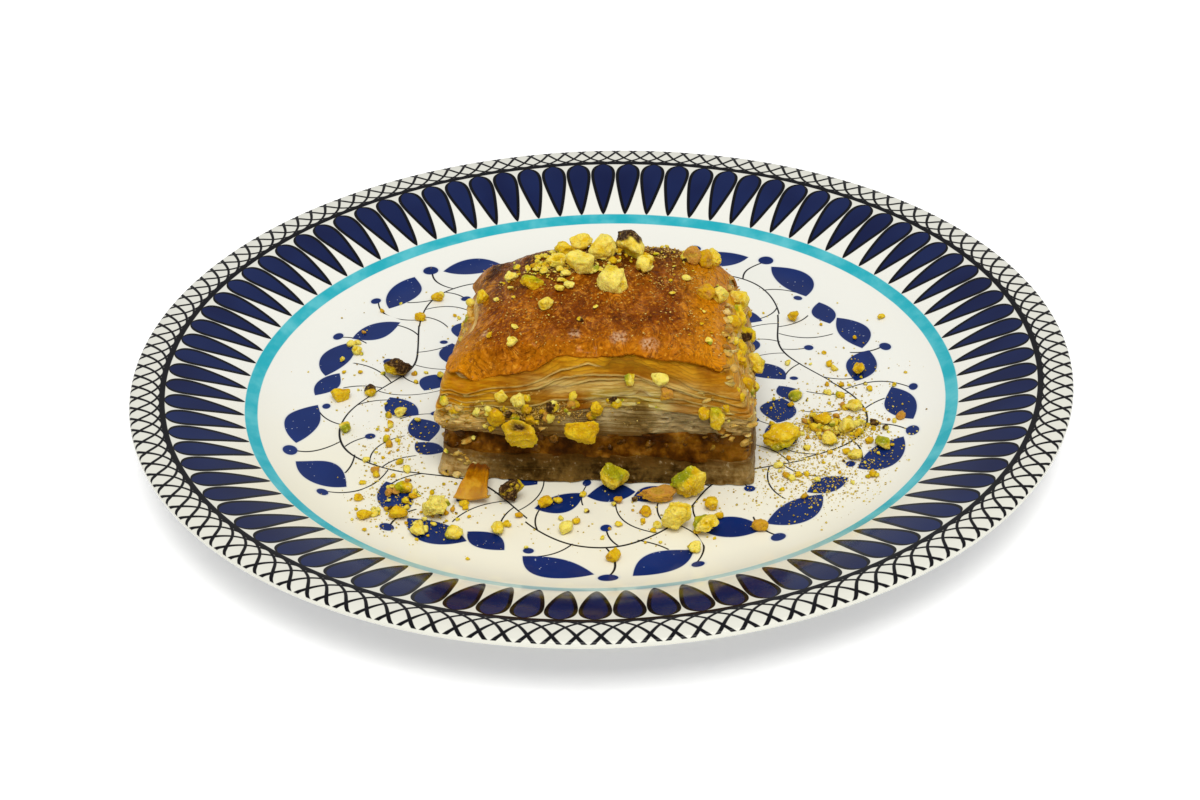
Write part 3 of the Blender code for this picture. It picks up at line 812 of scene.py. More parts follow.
# %% The core of the stack
STACK_SPLIT = 0.46               # the share of the stack's height that is soaked and grey
SHEET_PITCH = 0.00046
CORE_RECESS = 0.0011
CORE_UNDER = 0.001               # how far below the crust the core ends
FRONT_EDGE = 0.0226              # where the crust's fold begins, from the middle
FOLD_TOP, FOLD_FOOT = (0.005, 0.019), (0.0118, 0.0122)     # a and height along the torn fold


def stack_bottom(a, b):
    """Where the flaky stack starts, a little sunk into the filling."""
    return filling_top(a, b) - OVERLAP


def core_top(a, b):
    """The core ends under the crust, which is a piece of its own, and dips where that folds."""
    return crust_height(a, b) - CORE_UNDER - FRONT_FOLD * front_fold(a, b / FRONT_EDGE)


def core_split(a, b):
    """Where the soaked half of the core meets the opened half."""
    return stack_bottom(a, b) + (core_top(a, b) - stack_bottom(a, b)) * STACK_SPLIT


def fold_distance(a, height):
    """Distance from the line of the torn fold that slants down the middle of the front."""
    run = np.subtract(FOLD_FOOT, FOLD_TOP)
    share = ((a - FOLD_TOP[0]) * run[0] + (height - FOLD_TOP[1]) * run[1]) / (run @ run)
    share = np.clip(share, 0.0, 1.0)
    return np.hypot(a - FOLD_TOP[0] - run[0] * share, height - FOLD_TOP[1] - run[1] * share)


def pressed_relief(a, b, height, level):
    """Thin ledges over dents, and torn places where crinkled sheets stand out."""
    where = np.stack([a, b, height], -1)
    count = height / SHEET_PITCH + 1.5 * noise(where * [1, 1, 0.5], 0.01)
    count = count + 0.7 * noise(where * [1, 1, 0.5], 0.0035, 4.0)
    uneven, groove = ledges(where, count, 0.006, 0.0018)
    dents = 0.00042 * noise(where, 0.0055, 6.0) + 0.00016 * noise(where, 0.0017, 7.0)
    torn = np.maximum(smooth(noise(where, 0.0075, 9.0), 0.25, 0.7),
                      bell(fold_distance(a, height), 0.0, 0.0016) * (b < -0.015))
    torn = np.maximum(torn, np.maximum(smooth(a, 0.0245, 0.029), smooth(-a, 0.0185, 0.024)))
    crinkle = 0.6 - 2.4 * abs(noise(where * [1.0, 1.0, 1.6], 0.0015, 13.0))
    crinkle = crinkle + 0.8 * noise(where * [1.0, 1.0, 1.3], 0.003, 15.0) * smooth(-a, 0.0185, 0.024)
    crumble = 0.0007 * smooth(-a, 0.02, 0.026) * np.sin(np.clip(level, 0, 1) * math.pi)
    return 0.00013 * uneven - 0.00007 * groove + dents + 0.00045 * torn * crinkle + crumble


def opened_relief(a, b, height, level):
    """The core behind the opened sheets: set back and a little dented."""
    where = np.stack([a, b, height], -1)
    return 0.00035 * noise(where, 0.004, 6.0) - CORE_RECESS * smooth(level, 0.0, 0.06)


def stack_finish():
    """Grey-gold pressed lines, dusty yellow towards the opened sheets, browner at the foot and
    left of the middle, and amber at the left end."""
    made, where = food_finish("flaky_stack", 0.35, PASTRY_DEPTH, 0.12)
    x, _, z = where.split()
    lines = where.stretch(70.0, 70.0, 2100.0).clouds(1.0, 3.0, 0.6, 0.8)
    patch = where.clouds(150.0, 4.0, 0.6)
    mood = lines * 0.45 + patch * 0.55
    pale = band(x.near(patch, 0.012), 0.013, 0.029, 0.003)
    dusk = 1 - x.near(patch, 0.008).step(-0.011, -0.006)
    amber = 1 - x.near(patch, 0.01).step(-0.028, -0.02)
    corner = x.near(patch, 0.006).step(0.0235, 0.0262)
    dusty = (z * 1000).near(patch, 5).step(21.5, 24.5) * x.step(-0.009, -0.002)
    low = 1 - z.near(patch, 0.006).step(0.016, 0.019)
    paint = mood.ramp((0.36, (0.1, 0.052, 0.008)), (0.47, (0.22, 0.14, 0.042)),
                      (0.57, (0.41, 0.3, 0.13)), (0.68, (0.68, 0.54, 0.28)))
    paint = paint.coat(pale * 0.4, (0.44, 0.33, 0.16))
    paint = paint.coat(dusk * 0.85, mood.step(0.38, 0.64).mix((0.07, 0.028, 0.002), (0.32, 0.19, 0.034)))
    paint = paint.coat(amber * 0.9, mood.step(0.36, 0.64).mix((0.52, 0.25, 0.018), (0.94, 0.68, 0.26)))
    paint = paint.coat(corner * 0.85, mood.step(0.4, 0.6).mix((0.26, 0.13, 0.014), (0.76, 0.54, 0.2)))
    paint = paint.coat(dusty * 0.75, mood.step(0.36, 0.64).mix((0.38, 0.21, 0.016), (0.64, 0.46, 0.08)))
    paint = paint.coat(low * 0.65, (0.14, 0.058, 0.006))
    return surface(made, paint, 0.3 + patch * 0.25, patch.step(0.54, 0.7) * 0.2,
                   lines * 0.5 + where.clouds(900.0) * 0.5, 0.0003)


stack_skin = stack_finish()
lower = block_skin("soaked_half", 620, 96, stack_bottom, core_split, pressed_relief, stack_skin)
dress(lower, "golden_pastry", "top_layers")
upper = block_skin("opened_half", 400, 40, core_split, core_top, opened_relief, stack_skin)
dress(upper, "golden_pastry", "top_layers")

# %% [markdown]
# Each hanging sheet is a ribbon that runs once round the slice. Seen in section it leaves the
# core level, under the sheet above, and turns down to a plumb lip: a quarter of an ellipse.
# Where its noise is low the lip sinks back, so no sheet reads as a closed ring.

# %% The hanging sheets
LIP_STATIONS = (-0.03, -0.01, -0.001, 0.01, 0.024)      # places along the front
FRONT_LIPS = (                   # each lip's height there, as shares from filling to crust
    (0.33, 0.24, 0.38, 0.43, 0.32), (0.47, 0.43, 0.47, 0.52, 0.39), (0.56, 0.5, 0.5, 0.56, 0.46),
    (0.66, 0.59, 0.69, 0.74, 0.54), (0.71, 0.69, 0.77, 0.78, 0.58), (0.78, 0.8, 0.86, 0.83, 0.66),
)
OTHER_LIPS = (0.4, 0.48, 0.57, 0.66, 0.75, 0.85)          # the same on the other three sides
SHEET_REACHES = (0.2, 0.2, 0.2, 0.2, 0.2, 0.5)       # how far above its lip each one starts
SHEET_STEPS = 620
SHEET_ACROSS = 18
SHEET_THICKNESS = 0.0002
SHEET_ROOT = 0.0015
STACK_TALL = 18.5                # the stack's height in front, in mm
LEAF_PITCH = 0.85
ARCH_AT, ARCH_WIDTH, ARCH_LIFT = -0.0012, 0.004, 0.04


def along_sheet(s, t, front_lips, other_lip):
    """A lip's level all round: its own stations in front, one level on the other sides."""
    front = smooth(-t, 0.6, 1.0)
    return other_lip + (np.interp(s * HALF_WIDTH, LIP_STATIONS, front_lips) - other_lip) * front


def hanging_sheet(front_lips, other_lip, reach, shift, lift, front_above, other_above):
    """Points of one ribbon. w runs from 0 in the core to 1 at the lip: the way out follows
    sin(90 w) and the way down 1 - cos(90 w). Noise moves the lip in and out, up and down; lift
    raises it to a pointed arch at one place in front. Also returns how far each point is under
    the lip of the ribbon above, and how far over its own, in mm."""
    s, t = around_square(SHEET_STEPS)
    w = np.linspace(0.0, 1.0, SHEET_ACROSS)[:, None]
    path = np.stack([s * HALF_WIDTH, t * HALF_DEPTH, 0 * s], -1)
    share = along_sheet(s, t, front_lips, other_lip)
    arch = np.clip(1 - abs(s * HALF_WIDTH - ARCH_AT) / ARCH_WIDTH, 0.0, 1.0) * (t < -0.9)
    lip = 0.00034 + 0.00048 * noise(path, 0.011, shift) + 0.00016 * noise(path, 0.0032, shift + 2.0)
    low = share + 0.03 * noise(path, 0.01, shift + 6.0) + 0.011 * noise(path, 0.004, shift + 8.0)
    low = low + 0.006 * noise(path, 0.0013, shift + 10.0) + lift * arch
    high = np.minimum(share + reach, 0.99)
    level = low + (high - low) * np.cos(w * math.pi / 2)
    out = lip * np.sin(w * math.pi / 2) - SHEET_ROOT * (1 - np.sin(w * math.pi / 2))
    hang = path + [0, 0, 1] * w[..., None] * 0.0012
    ripple = (0.00008 * noise(hang, 0.0021, shift + 9.0) + 0.00003 * noise(hang, 0.0009, shift + 3.0)) * w
    a, b = s * HALF_WIDTH, t * HALF_DEPTH
    for _ in range(2):
        height = stack_bottom(a, b) + (core_top(a, b) - stack_bottom(a, b)) * level
        a, b = footprint(s + 0 * w, t + 0 * w, height, out + ripple)
    ceiling = crust_height(a, b) - CORE_UNDER - FRONT_FOLD * front_fold(a, t) ** 1.3
    under = (along_sheet(s, t, front_above, other_above) - level) * STACK_TALL
    return in_slice(a, b, np.minimum(height, ceiling)), under, (level - low) * STACK_TALL


def sheet_finish():
    """Pastry leaves: tan in the middle, golden near the crust and at the ends, brown in the
    painted shade of the leaf above and palest at the lip, a painted highlight; dusty cream low
    down. Finer leaves follow the lip: the fraction of the height over it falls back to 0 at each
    one's edge, and a painted shadow line lies just under each edge."""
    made, where = food_finish("pastry_leaves", 0.45, PASTRY_DEPTH, 0.12)
    x, _, z = where.split()
    under, over = where.kept("under"), where.kept("over")
    patch = where.clouds(120.0, 4.0, 0.6)
    fine = where.stretch(150.0, 150.0, 1400.0).clouds(1.0, 4.0, 0.6, 0.8)
    mood = fine * 0.4 + patch * 0.6
    toned, lit = mood.step(0.36, 0.64), mood.step(0.38, 0.62)
    leaf = ((over / LEAF_PITCH).near(patch, 3.0).near(fine, 0.6) + 9).math("FRACT")
    warm = z.near(patch, 0.008).step(0.029, 0.0345) * 0.8
    ends = abs(x - 0.001).near(patch, 0.012).step(0.017, 0.027)
    level = (z * 1000).near(patch, 4)
    dusty = (1 - level.step(26.0, 29.0)) * x.near(patch, 0.01).step(-0.006, 0.0)
    dusty = dusty * (1 - x.step(0.01, 0.017) * 0.8)
    cream = level.step(25.0, 27.0) * (1 - level.step(28.4, 30.0)) * band(x, -0.014, 0.019, 0.004)
    dusk = (1 - level.step(23.0, 25.5)) * (1 - x.near(patch, 0.008).step(-0.011, -0.006))
    dusk = dusk * x.step(-0.03, -0.024)
    shade = 1 - under.near(patch, 1.2).step(0.05, 0.6)
    # Palest at the lip: a painted highlight on each sheet's edge.
    lip = (1 - over.step(0.15, 0.55)) * patch.step(0.34, 0.54)
    # A painted shadow line just under each finer leaf's edge.
    seam = leaf.step(0.55, 1.0) * patch.step(0.35, 0.55)
    paint = toned.mix((0.25, 0.068, 0.0005), (0.54, 0.215, 0.012))
    paint = paint.coat(warm.math("MAXIMUM", ends), toned.mix((0.43, 0.125, 0.0005), (0.8, 0.34, 0.006)))
    paint = paint.coat(dusty * 0.85, fine.step(0.4, 0.6).mix((0.52, 0.3, 0.03), (0.88, 0.68, 0.26)))
    paint = paint.coat(cream * 0.75, lit.mix((0.5, 0.25, 0.04), (0.8, 0.5, 0.15)))
    paint = paint.coat(dusk * 0.8, lit.mix((0.1, 0.042, 0.001), (0.36, 0.21, 0.02)))
    paint = paint.coat(shade * 0.5, (0.2, 0.07, 0.002)).coat(lip * 0.5, (0.9, 0.64, 0.22))
    paint = paint.coat(seam * 0.45, (0.23, 0.075, 0.001))
    return surface(made, paint, 0.3 + patch * 0.25, patch.step(0.54, 0.7) * 0.2,
                   fine * 0.4 + where.clouds(900.0, 2.0) * 0.2 - leaf * 0.4, 0.00026)


above = [*zip(FRONT_LIPS[1:], OTHER_LIPS[1:]), ((1.03,) * len(LIP_STATIONS), 1.03)]
ribbons, under, over = zip(*[
    hanging_sheet(lips, OTHER_LIPS[index], SHEET_REACHES[index], 3.7 * index, ARCH_LIFT * (index == 5),
                  *above[index])
    for index, lips in enumerate(FRONT_LIPS)])
ribbon_faces = grid_faces(SHEET_ACROSS, SHEET_STEPS, loop=True)[:, ::-1]
offsets = np.arange(len(FRONT_LIPS))[:, None, None] * SHEET_ACROSS * SHEET_STEPS
sheets = make_piece("hanging_sheets", np.reshape(ribbons, (-1, 3)), (ribbon_faces + offsets).reshape(-1, 4),
                    sheet_finish())
keep_values(sheets, {"under": under, "over": over})
thicken(sheets, SHEET_THICKNESS, 0.0)
dress(sheets, "golden_pastry", "top_layers")

# %% [markdown]
# ### The crust
# The top sheets bake to one glossy, crackled skin. It follows the dome, hangs a little over
# the cut, and is wrinkled like paper that was brushed with butter. The large wrinkles are in
# the mesh, so they catch the light from every side, and the fine ones are bump.

# %% The crust's wrinkled surface
CRUST_COLUMNS, CRUST_RANKS = 260, 200
CRUST_THICKNESS = 0.0005
CORNER_LIFT = 0.0019             # how far its back left corner curls up
# Places of painted highlights on the crust's front slope
HIGHLIGHT_SPOTS = (                  # a, b and radius in mm
    (-4.2, -17.8, 1.7), (-24.0, -14.4, 1.4), (5.3, -18.8, 2.6), (11.6, -19.8, 2.6),
)


def crust_wrinkles(a, b):
    """Creases where bent noise passes through zero, in two sizes, over slow swells."""
    where = np.stack([a, b, 0 * a], -1)
    bend = np.stack([noise(where, 0.009, 1.5), noise(where, 0.009, 8.5), 0 * a], -1) * 0.004
    crease = 1.0 - np.minimum(abs(noise((where + bend) * [1.0, 0.6, 1.0], 0.0058, 2.0)) * 5.0, 1.0)
    small = 1.0 - np.minimum(abs(noise(where + bend, 0.0024, 12.0)) * 4.0, 1.0)
    swell = 0.00032 * noise(where, 0.011, 4.0) + 0.00014 * noise(where, 0.0036, 6.0)
    return 0.0003 * crease ** 2 + 0.00014 * small ** 2 + swell + 0.00008 * noise(where, 0.0011)


def crust_pull(s, b):
    """How far the baked sheets have shrunk back from the cut: 1 mm all along the right, and on
    the left 2 mm, but only behind the front corner."""
    left = 0.002 * smooth(b, -0.0135, -0.0095) * (1 - smooth(b, 0.004, 0.015))
    left = left + 0.0008 * bell(b, -0.008, 0.003)
    return np.where(s < 0, left, 0.0009) * abs(s) ** 8 * np.sign(s)


def crust_points():
    """The dome on an even grid. Its ragged edge overhangs a little and curls down, most of all
    over the left part of the front, and the back left corner curls up."""
    s, t = np.meshgrid(np.linspace(-1, 1, CRUST_COLUMNS), np.linspace(-1, 1, CRUST_RANKS))
    a, b = s * HALF_WIDTH, t * HALF_DEPTH
    reach = np.maximum(abs(s), abs(t))
    where = np.stack([a, b, 0 * a], -1)
    fold = front_fold(a, t)
    ragged = 0.0004 + 0.0005 * noise(where, 0.009, 3.0) + 0.0003 * noise(where, 0.0022, 5.0) + 0.0007 * fold
    for _ in range(2):
        a, b = footprint(s, t, crust_height(a, b), ragged)
        a = a - crust_pull(s, b)
    edge = smooth(reach, 0.88, 1.0)
    curl = edge ** 1.6 * (0.0009 + 0.0005 * noise(where, 0.012, 7.0) + 0.0003 * noise(where, 0.0035, 3.0))
    curl = curl + FRONT_FOLD * fold ** 1.3
    lift = CORNER_LIFT * smooth(-a, 0.021, 0.029) * smooth(b, 0.002, 0.014)
    return in_slice(a, b, crust_height(a, b) + lift + crust_wrinkles(a, b) * (1 - 0.3 * edge) - curl)


def crust_finish():
    """Caramel brown, darkest behind the middle, orange-gold towards the edges: blotches in
    three sizes, painted shade along the creases, fine ripples that follow the level lines of
    bent noise with painted shade in their hollows and a painted highlight on their ridges,
    toasted freckles, bright specks that are painted glints, and pale spots in front that are
    painted highlights."""
    made, where = food_finish("browned_crust", 0.1, (0.0015, 0.0006, 0.0002), 0.16,
                              more={"Specular IOR Level": 0.12})
    x, y, _ = where.split()
    patch = where.clouds(80.0, 4.0, 0.65, 0.4)
    middle = where.stretch(1.0, 0.6, 1.0).clouds(300.0, 4.0, 0.65, 0.8)
    fine = where.clouds(1300.0, 3.0, 0.6)
    crease_line = abs(where.stretch(1.0, 0.55, 1.0).clouds(170.0, 3.0, 0.5, 1.6) - 0.5)
    swirl = (where.stretch(1.0, 0.6, 1.0).clouds(110.0, 2.0, 0.5, 1.4) * 15).math("FRACT")
    swirl = abs(swirl - 0.5) * 2
    back = y.near(patch, 0.03).step(-0.016, 0.002)
    front = 1 - y.near(patch, 0.012).step(-0.034, -0.026)
    side = abs(x + 0.003).near(middle, 0.012).step(0.018, 0.027)
    # painted shade along the creases of the bump
    crease_shade = (1 - crease_line.step(0.003, 0.03)) * middle.step(0.35, 0.6)
    # painted shade in the ripples' hollows, and a painted highlight on their ridges
    hollow = (1 - swirl.step(0.05, 0.45)) * patch.step(0.35, 0.6)
    ridge_highlight = swirl.step(0.6, 1.0) * middle.step(0.4, 0.65)
    painted_highlight = None
    for a, b, size in in_metres(HIGHLIGHT_SPOTS):
        x0, y0, _ = in_slice(a, b, 0.0)
        away = (((x - x0) ** 2 + (y - y0) ** 2) ** 0.5).near(middle, 0.004)
        spot = 1 - away.step(size * 0.2, size)
        painted_highlight = painted_highlight.math("MAXIMUM", spot) if painted_highlight else spot
    paint = (patch * 0.45 + middle * 0.35 + fine * 0.2).ramp(
        (0.38, (0.07, 0.012, 0.0003)), (0.46, (0.2, 0.042, 0.0006)),
        (0.54, (0.37, 0.098, 0.001)), (0.64, (0.64, 0.235, 0.008)))
    paint = paint.coat(back * 0.8, middle.step(0.4, 0.6).mix((0.012, 0.003, 0.0003), (0.15, 0.04, 0.002)))
    paint = paint.coat(front * 0.55, (0.6, 0.19, 0.002)).coat(side * 0.65, (0.74, 0.275, 0.002))
    paint = paint.coat(crease_shade * 0.6, (0.09, 0.018, 0.0008)).coat(hollow * 0.5, (0.11, 0.022, 0.0004))
    paint = paint.coat(ridge_highlight * 0.35, (0.72, 0.3, 0.02))
    paint = paint.coat((1 - fine.step(0.32, 0.45)) * 0.5, (0.07, 0.015, 0.0006))
    # Bright specks: painted glints.
    paint = paint.coat(fine.step(0.58, 0.7) * 0.45, (0.86, 0.41, 0.035))
    # Pale spots in front: painted highlights.
    paint = paint.coat(painted_highlight * fine.step(0.35, 0.6) * 0.6, (0.7, 0.48, 0.29))
    height = fine * 0.35 + middle * 0.25 + crease_line.step(0.0, 0.05) * 0.15 + swirl * 0.25
    return surface(made, paint, 0.32 + fine * 0.3, middle.step(0.5, 0.66) * 0.3, height, 0.00042)


crust = make_piece("browned_crust", crust_points().reshape(-1, 3), grid_faces(CRUST_RANKS, CRUST_COLUMNS),
                   crust_finish())
thicken(crust, CRUST_THICKNESS)
dress(crust, "golden_pastry", "top_layers")

# %% [markdown]
# ### Chopped pistachios
# A chopped kernel is a rounded lump with flat knife cuts and crumbly hollows. The distance
# from its middle to the nearest of a dozen random planes gives the cuts, softened so the
# edges aren't razor sharp. Coarse noise digs the hollows and fine noise makes the crumb. The
# depth of the hollows is kept as a value on the points, so the finish can paint them darker
# and greener: painted shade.

# %% The shape of a chopped nut


def sphere_mesh(divisions):
    """Unit directions and triangles of an icosphere."""
    bm = bmesh.new()
    bmesh.ops.create_icosphere(bm, subdivisions=divisions, radius=1.0)
    directions = np.array([vert.co for vert in bm.verts])
    faces = np.array([[vert.index for vert in face.verts] for face in bm.faces])
    bm.free()
    return directions, faces


SPHERES = {divisions: sphere_mesh(divisions) for divisions in (1, 2, 3, 4, 5, 6)}


def nut_form(directions, draw, facets, rough, dent):
    """Radius along each direction: a soft minimum, by a sum of 20th powers, of the distances to
    random planes, less the hollows, plus crumb. A dent (direction, depth, width) scoops one
    side out; the width is the cosine where it starts.
    Returns the form scaled to a unit box, and the hollows' and the dent's depth from 0 to 1."""
    normals = draw.normal(size=(facets, 3))
    normals /= np.linalg.norm(normals, axis=1)[:, None]
    away = draw.uniform(0.62, 1.0, facets)
    facing = np.maximum(directions @ normals.T, 0.0) / away
    radius = (np.sum(facing ** 20, axis=1) + 0.15) ** (-1 / 20)
    shift = draw.uniform(0, 30)
    hollow = smooth(noise(directions, 0.85, shift), 0.15, 0.8)
    crumb = fractal(directions, 0.36, 3, shift + 7.0) + 0.34 * noise(directions, 0.11, shift + 3.0)
    crumb = crumb + 0.26 * noise(directions, 0.06, shift + 13.0)
    ridge = 0.5 - abs(noise(directions, 0.5, shift + 11.0)) * 2
    radius = radius * (1.0 - 1.1 * rough * hollow + 0.42 * rough * crumb + 0.3 * rough * ridge)
    scoop = np.zeros(len(directions))
    if dent:
        towards = np.array(dent[0]) / np.linalg.norm(dent[0])
        scoop = smooth(directions @ towards + 0.08 * crumb, dent[2], dent[2] + 0.45)
        radius = radius * (1.0 - dent[1] * scoop)
    form = directions * radius[:, None]
    form -= (form.max(0) + form.min(0)) / 2
    return form / (form.max(0) - form.min(0)), np.clip(hollow * 0.8 - crumb * 0.35 + 0.15, 0.0, 1.0), scoop


def turn_matrix(draw, tilt):
    """A free turn about Z and a tilt of up to `tilt` degrees about X and Y."""
    lean_x, lean_y = np.radians(draw.uniform(-tilt, tilt, 2))
    whole = (Matrix.Rotation(draw.uniform(0, 2 * math.pi), 3, "Z") @ Matrix.Rotation(lean_x, 3, "X")
             @ Matrix.Rotation(lean_y, 3, "Y"))
    return np.array(whole)


KINDS = {                        # tone from pale 0 to amber 1, share of green, share of skin
    "yellow": (0.12, 0.15, 0.0), "golden": (0.56, 0.15, 0.0), "green": (0.25, 0.6, 0.0),
    "amber": (0.95, 0.0, 0.0), "skin": (0.3, 0.25, 0.7), "dark": (0.6, 0.3, 1.0),
    "olive": (0.6, 0.45, 0.0), "lemon": (0.26, 0.12, 0.0), "husk": (0.3, 0.25, 0.7),
    "tipped": (0.36, 0.6, 0.0), "topped": (0.52, 0.52, 0.0),
}
NUT_VALUES = ("tone", "green", "skin", "deep")
GREEN_SIDES = {"husk": (0.8, -0.3, -0.5), "tipped": (-0.8, 0.1, 0.7), "topped": (0.1, -0.2, 1.0)}


def nut_cloud(name, nuts, divisions, finish, seed, rough, dent=None, cuts=(8, 13)):
    """Join nuts, each (place, size, kind, tilt), into one mesh with tone, green, skin and deep
    values. A tilt of None keeps the nut square to the axes."""
    draw = np.random.default_rng(seed)
    directions, faces = SPHERES[divisions]
    points, values = [], {label: [] for label in NUT_VALUES}
    for place, size, kind, tilt in nuts:
        form, deep, scoop = nut_form(directions, draw, int(draw.integers(*cuts)), rough, dent)
        turn = np.eye(3) if tilt is None else turn_matrix(draw, tilt)
        points.append((form * size) @ turn.T + place)
        tone, green, skin = KINDS[kind]
        side = np.array(GREEN_SIDES.get(kind, draw.normal(size=3)))
        facing = directions @ (side / np.linalg.norm(side)) + 0.25 * noise(directions, 0.4, seed)
        coat = smooth(-facing, 0.75 - 1.5 * skin, 0.95 - 1.4 * skin) * float(skin > 0)
        # A dent takes the skin value: the papery coat's dark brown painted into it as painted shade.
        shown = (np.full(len(form), np.clip(tone + draw.uniform(-0.15, 0.15), 0, 1)),
                 smooth(facing, 0.9 - 1.5 * green, 1.35 - 1.2 * green) * min(green * 1.5, 1.0),
                 np.maximum(coat, scoop), deep)
        for label, numbers in zip(NUT_VALUES, shown):
            values[label].append(numbers)
    offsets = np.arange(len(points))[:, None, None] * len(directions)
    piece = make_piece(name, np.vstack(points), (faces + offsets).reshape(-1, 3), finish)
    keep_values(piece, values)
    return piece


def pistachio_finish():
    """One finish for every kernel: the tone picks pale yellow to amber, the green value the
    side that lay under the skin, the skin value the purple-brown papery coat and, in a dent,
    painted shade; hollows are painted greener and darker than the crumb that stands out, as
    painted shade, and pale specks on the crumb are painted highlights."""
    made, where = food_finish("pistachio", 0.3, (0.0015, 0.0011, 0.0002), 0.2)
    patch = where.clouds(420.0, 3.0)
    fine = where.clouds(1500.0, 3.0)
    tone, green, skin, deep = [where.kept(label) for label in NUT_VALUES]
    # Deep hollows shift towards amber here and towards green below: painted shade.
    paint = (tone.near(patch, 0.8).near(fine, 0.4) + deep * 0.45 - 0.12).ramp(
        (0.0, (0.92, 0.76, 0.15)), (0.35, (0.82, 0.56, 0.018)),
        (0.65, (0.66, 0.37, 0.003)), (1.0, (0.56, 0.27, 0.045)))
    leaf = patch.step(0.35, 0.7).mix((0.17, 0.23, 0.004), (0.52, 0.5, 0.008))
    paint = paint.coat(green.math("MAXIMUM", deep.step(0.6, 1.0) * 0.25), leaf)
    # Pale cream specks on the paler nuts: painted highlights on the crumb.
    paint = paint.coat(fine.step(0.57, 0.72) * (1 - tone.step(0.3, 0.9)) * 0.5, (0.97, 0.87, 0.4))
    paint = paint.coat((1 - fine.step(0.3, 0.44)) * 0.45, (0.32, 0.18, 0.004))
    papery = fine.step(0.48, 0.72).mix((0.034, 0.014, 0.005), (0.26, 0.15, 0.05))
    paint = paint.coat(skin * patch.step(0.28, 0.42), papery)
    height = fine * 0.45 + patch * 0.3 + where.clouds(3400.0, 2.0) * 0.25
    return surface(made, paint, 0.42 + fine * 0.25, None, height, 0.0008)


nut_skin = pistachio_finish()
print("nut directions", {key: len(value[0]) for key, value in SPHERES.items()})

# %% [markdown]
# The largest pieces have solids of their own, so each is placed by its solid's box. The shapes
# differ from the solids only by their cuts and grit.

# %% The pieces with solids of their own
LOOSE_KINDS = {
    "pistachio_front_left": "topped", "pistachio_front_green": "tipped", "pistachio_front_orange": "amber",
    "pistachio_right_half": "olive", "pistachio_near_green": "lemon", "pistachio_near_dark": "green",
    "pistachio_left_near": "yellow", "pistachio_left_dark": "dark", "pistachio_brown_lump": "dark",
    "pistachio_on_front": "golden", "pistachio_on_left_front": "golden",
}
# The scooped side takes the skin value, so it is painted the papery coat's dark brown: painted shade in the
# dent.
DENTS = {                        # direction, depth and width of the side that is scooped out
    "pistachio_on_left_front": ((0.05, -0.35, 1.0), 0.5, 0.5),
}
for index, (node, kind) in enumerate(LOOSE_KINDS.items()):
    low, high = (np.array(corner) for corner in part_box(node))
    nut = nut_cloud(node + "_piece", [((low + high) / 2, high - low, kind, None)], 6, nut_skin, 40 + index,
                    0.22, DENTS.get(node))
    shift = low[2] - min(vert.co.z for vert in nut.data.vertices)
    nut.data.transform(Matrix.Translation((0.0, 0.0, shift)))
    dress(nut, "pistachio", node)

# %% [markdown]
# The smaller pieces on the crust, on the cut faces and on the plate are joined by kind of
# place. Their places repeat the solid's, where two lumps at the crust's right edge are one
# each and here an amber and a yellow half. Chips and crumbs are drawn round them by seeded
# rules: dense where the cook's hand let them fall, thin elsewhere. These tables are in mm.

# %% Nuts on the slice
CRUST_RISE = 0.36                # a nut's middle over the crust, as a share of its height
FACE_RISE = 0.15                 # the same out of a cut face, as a share of its depth
CRUST_NUTS = (                   # a, b, three sizes, kind
    (2.3, -1.7, 6.6, 5.8, 5.6, "yellow"), (-5.2, 4.7, 6.4, 5.6, 5.5, "yellow"),
    (-1.2, 11.8, 7.0, 5.6, 5.2, "lemon"), (-6.2, 15.2, 5.0, 4.6, 4.2, "lemon"),
    (5.0, 13.4, 9.2, 5.2, 5.8, "husk"), (8.6, 5.6, 3.6, 4.2, 4.2, "yellow"),
    (-9.6, 12.8, 4.4, 3.8, 3.4, "green"), (-11.0, 7.8, 4.6, 3.6, 3.2, "yellow"),
    (-15.3, -0.3, 5.2, 3.4, 3.4, "topped"), (-20.7, 5.3, 3.0, 2.7, 2.6, "yellow"),
    (-11.5, -8.5, 3.4, 3.0, 2.8, "yellow"), (-26.4, 1.1, 3.4, 3.0, 2.8, "golden"),
    (18.6, 13.0, 4.0, 4.2, 4.1, "amber"), (21.2, 13.6, 4.2, 4.4, 4.2, "golden"),
    (22.6, 16.5, 4.4, 4.0, 3.8, "green"), (22.4, 0.2, 4.0, 4.2, 3.4, "amber"),
    (25.0, 1.0, 4.0, 4.0, 3.6, "yellow"), (-17.1, -20.0, 3.0, 2.4, 2.2, "yellow"),
)
FRONT_NUTS = (                   # a, height, three sizes, kind
    (7.3, 24.5, 3.0, 2.2, 3.4, "green"), (13.7, 24.6, 4.2, 2.2, 3.0, "yellow"),
    (15.1, 21.0, 3.4, 2.4, 3.6, "amber"), (-19.5, 19.6, 3.0, 2.4, 3.0, "yellow"),
    (-15.5, 19.0, 4.0, 2.8, 3.4, "yellow"), (-8.7, 17.4, 3.0, 2.2, 2.6, "skin"),
    (-20.6, 14.8, 4.2, 3.4, 4.2, "golden"), (23.2, 17.2, 3.2, 2.6, 3.2, "golden"),
    (25.6, 16.2, 4.4, 3.4, 5.4, "topped"), (0.5, 17.8, 3.0, 2.4, 2.8, "golden"),
)
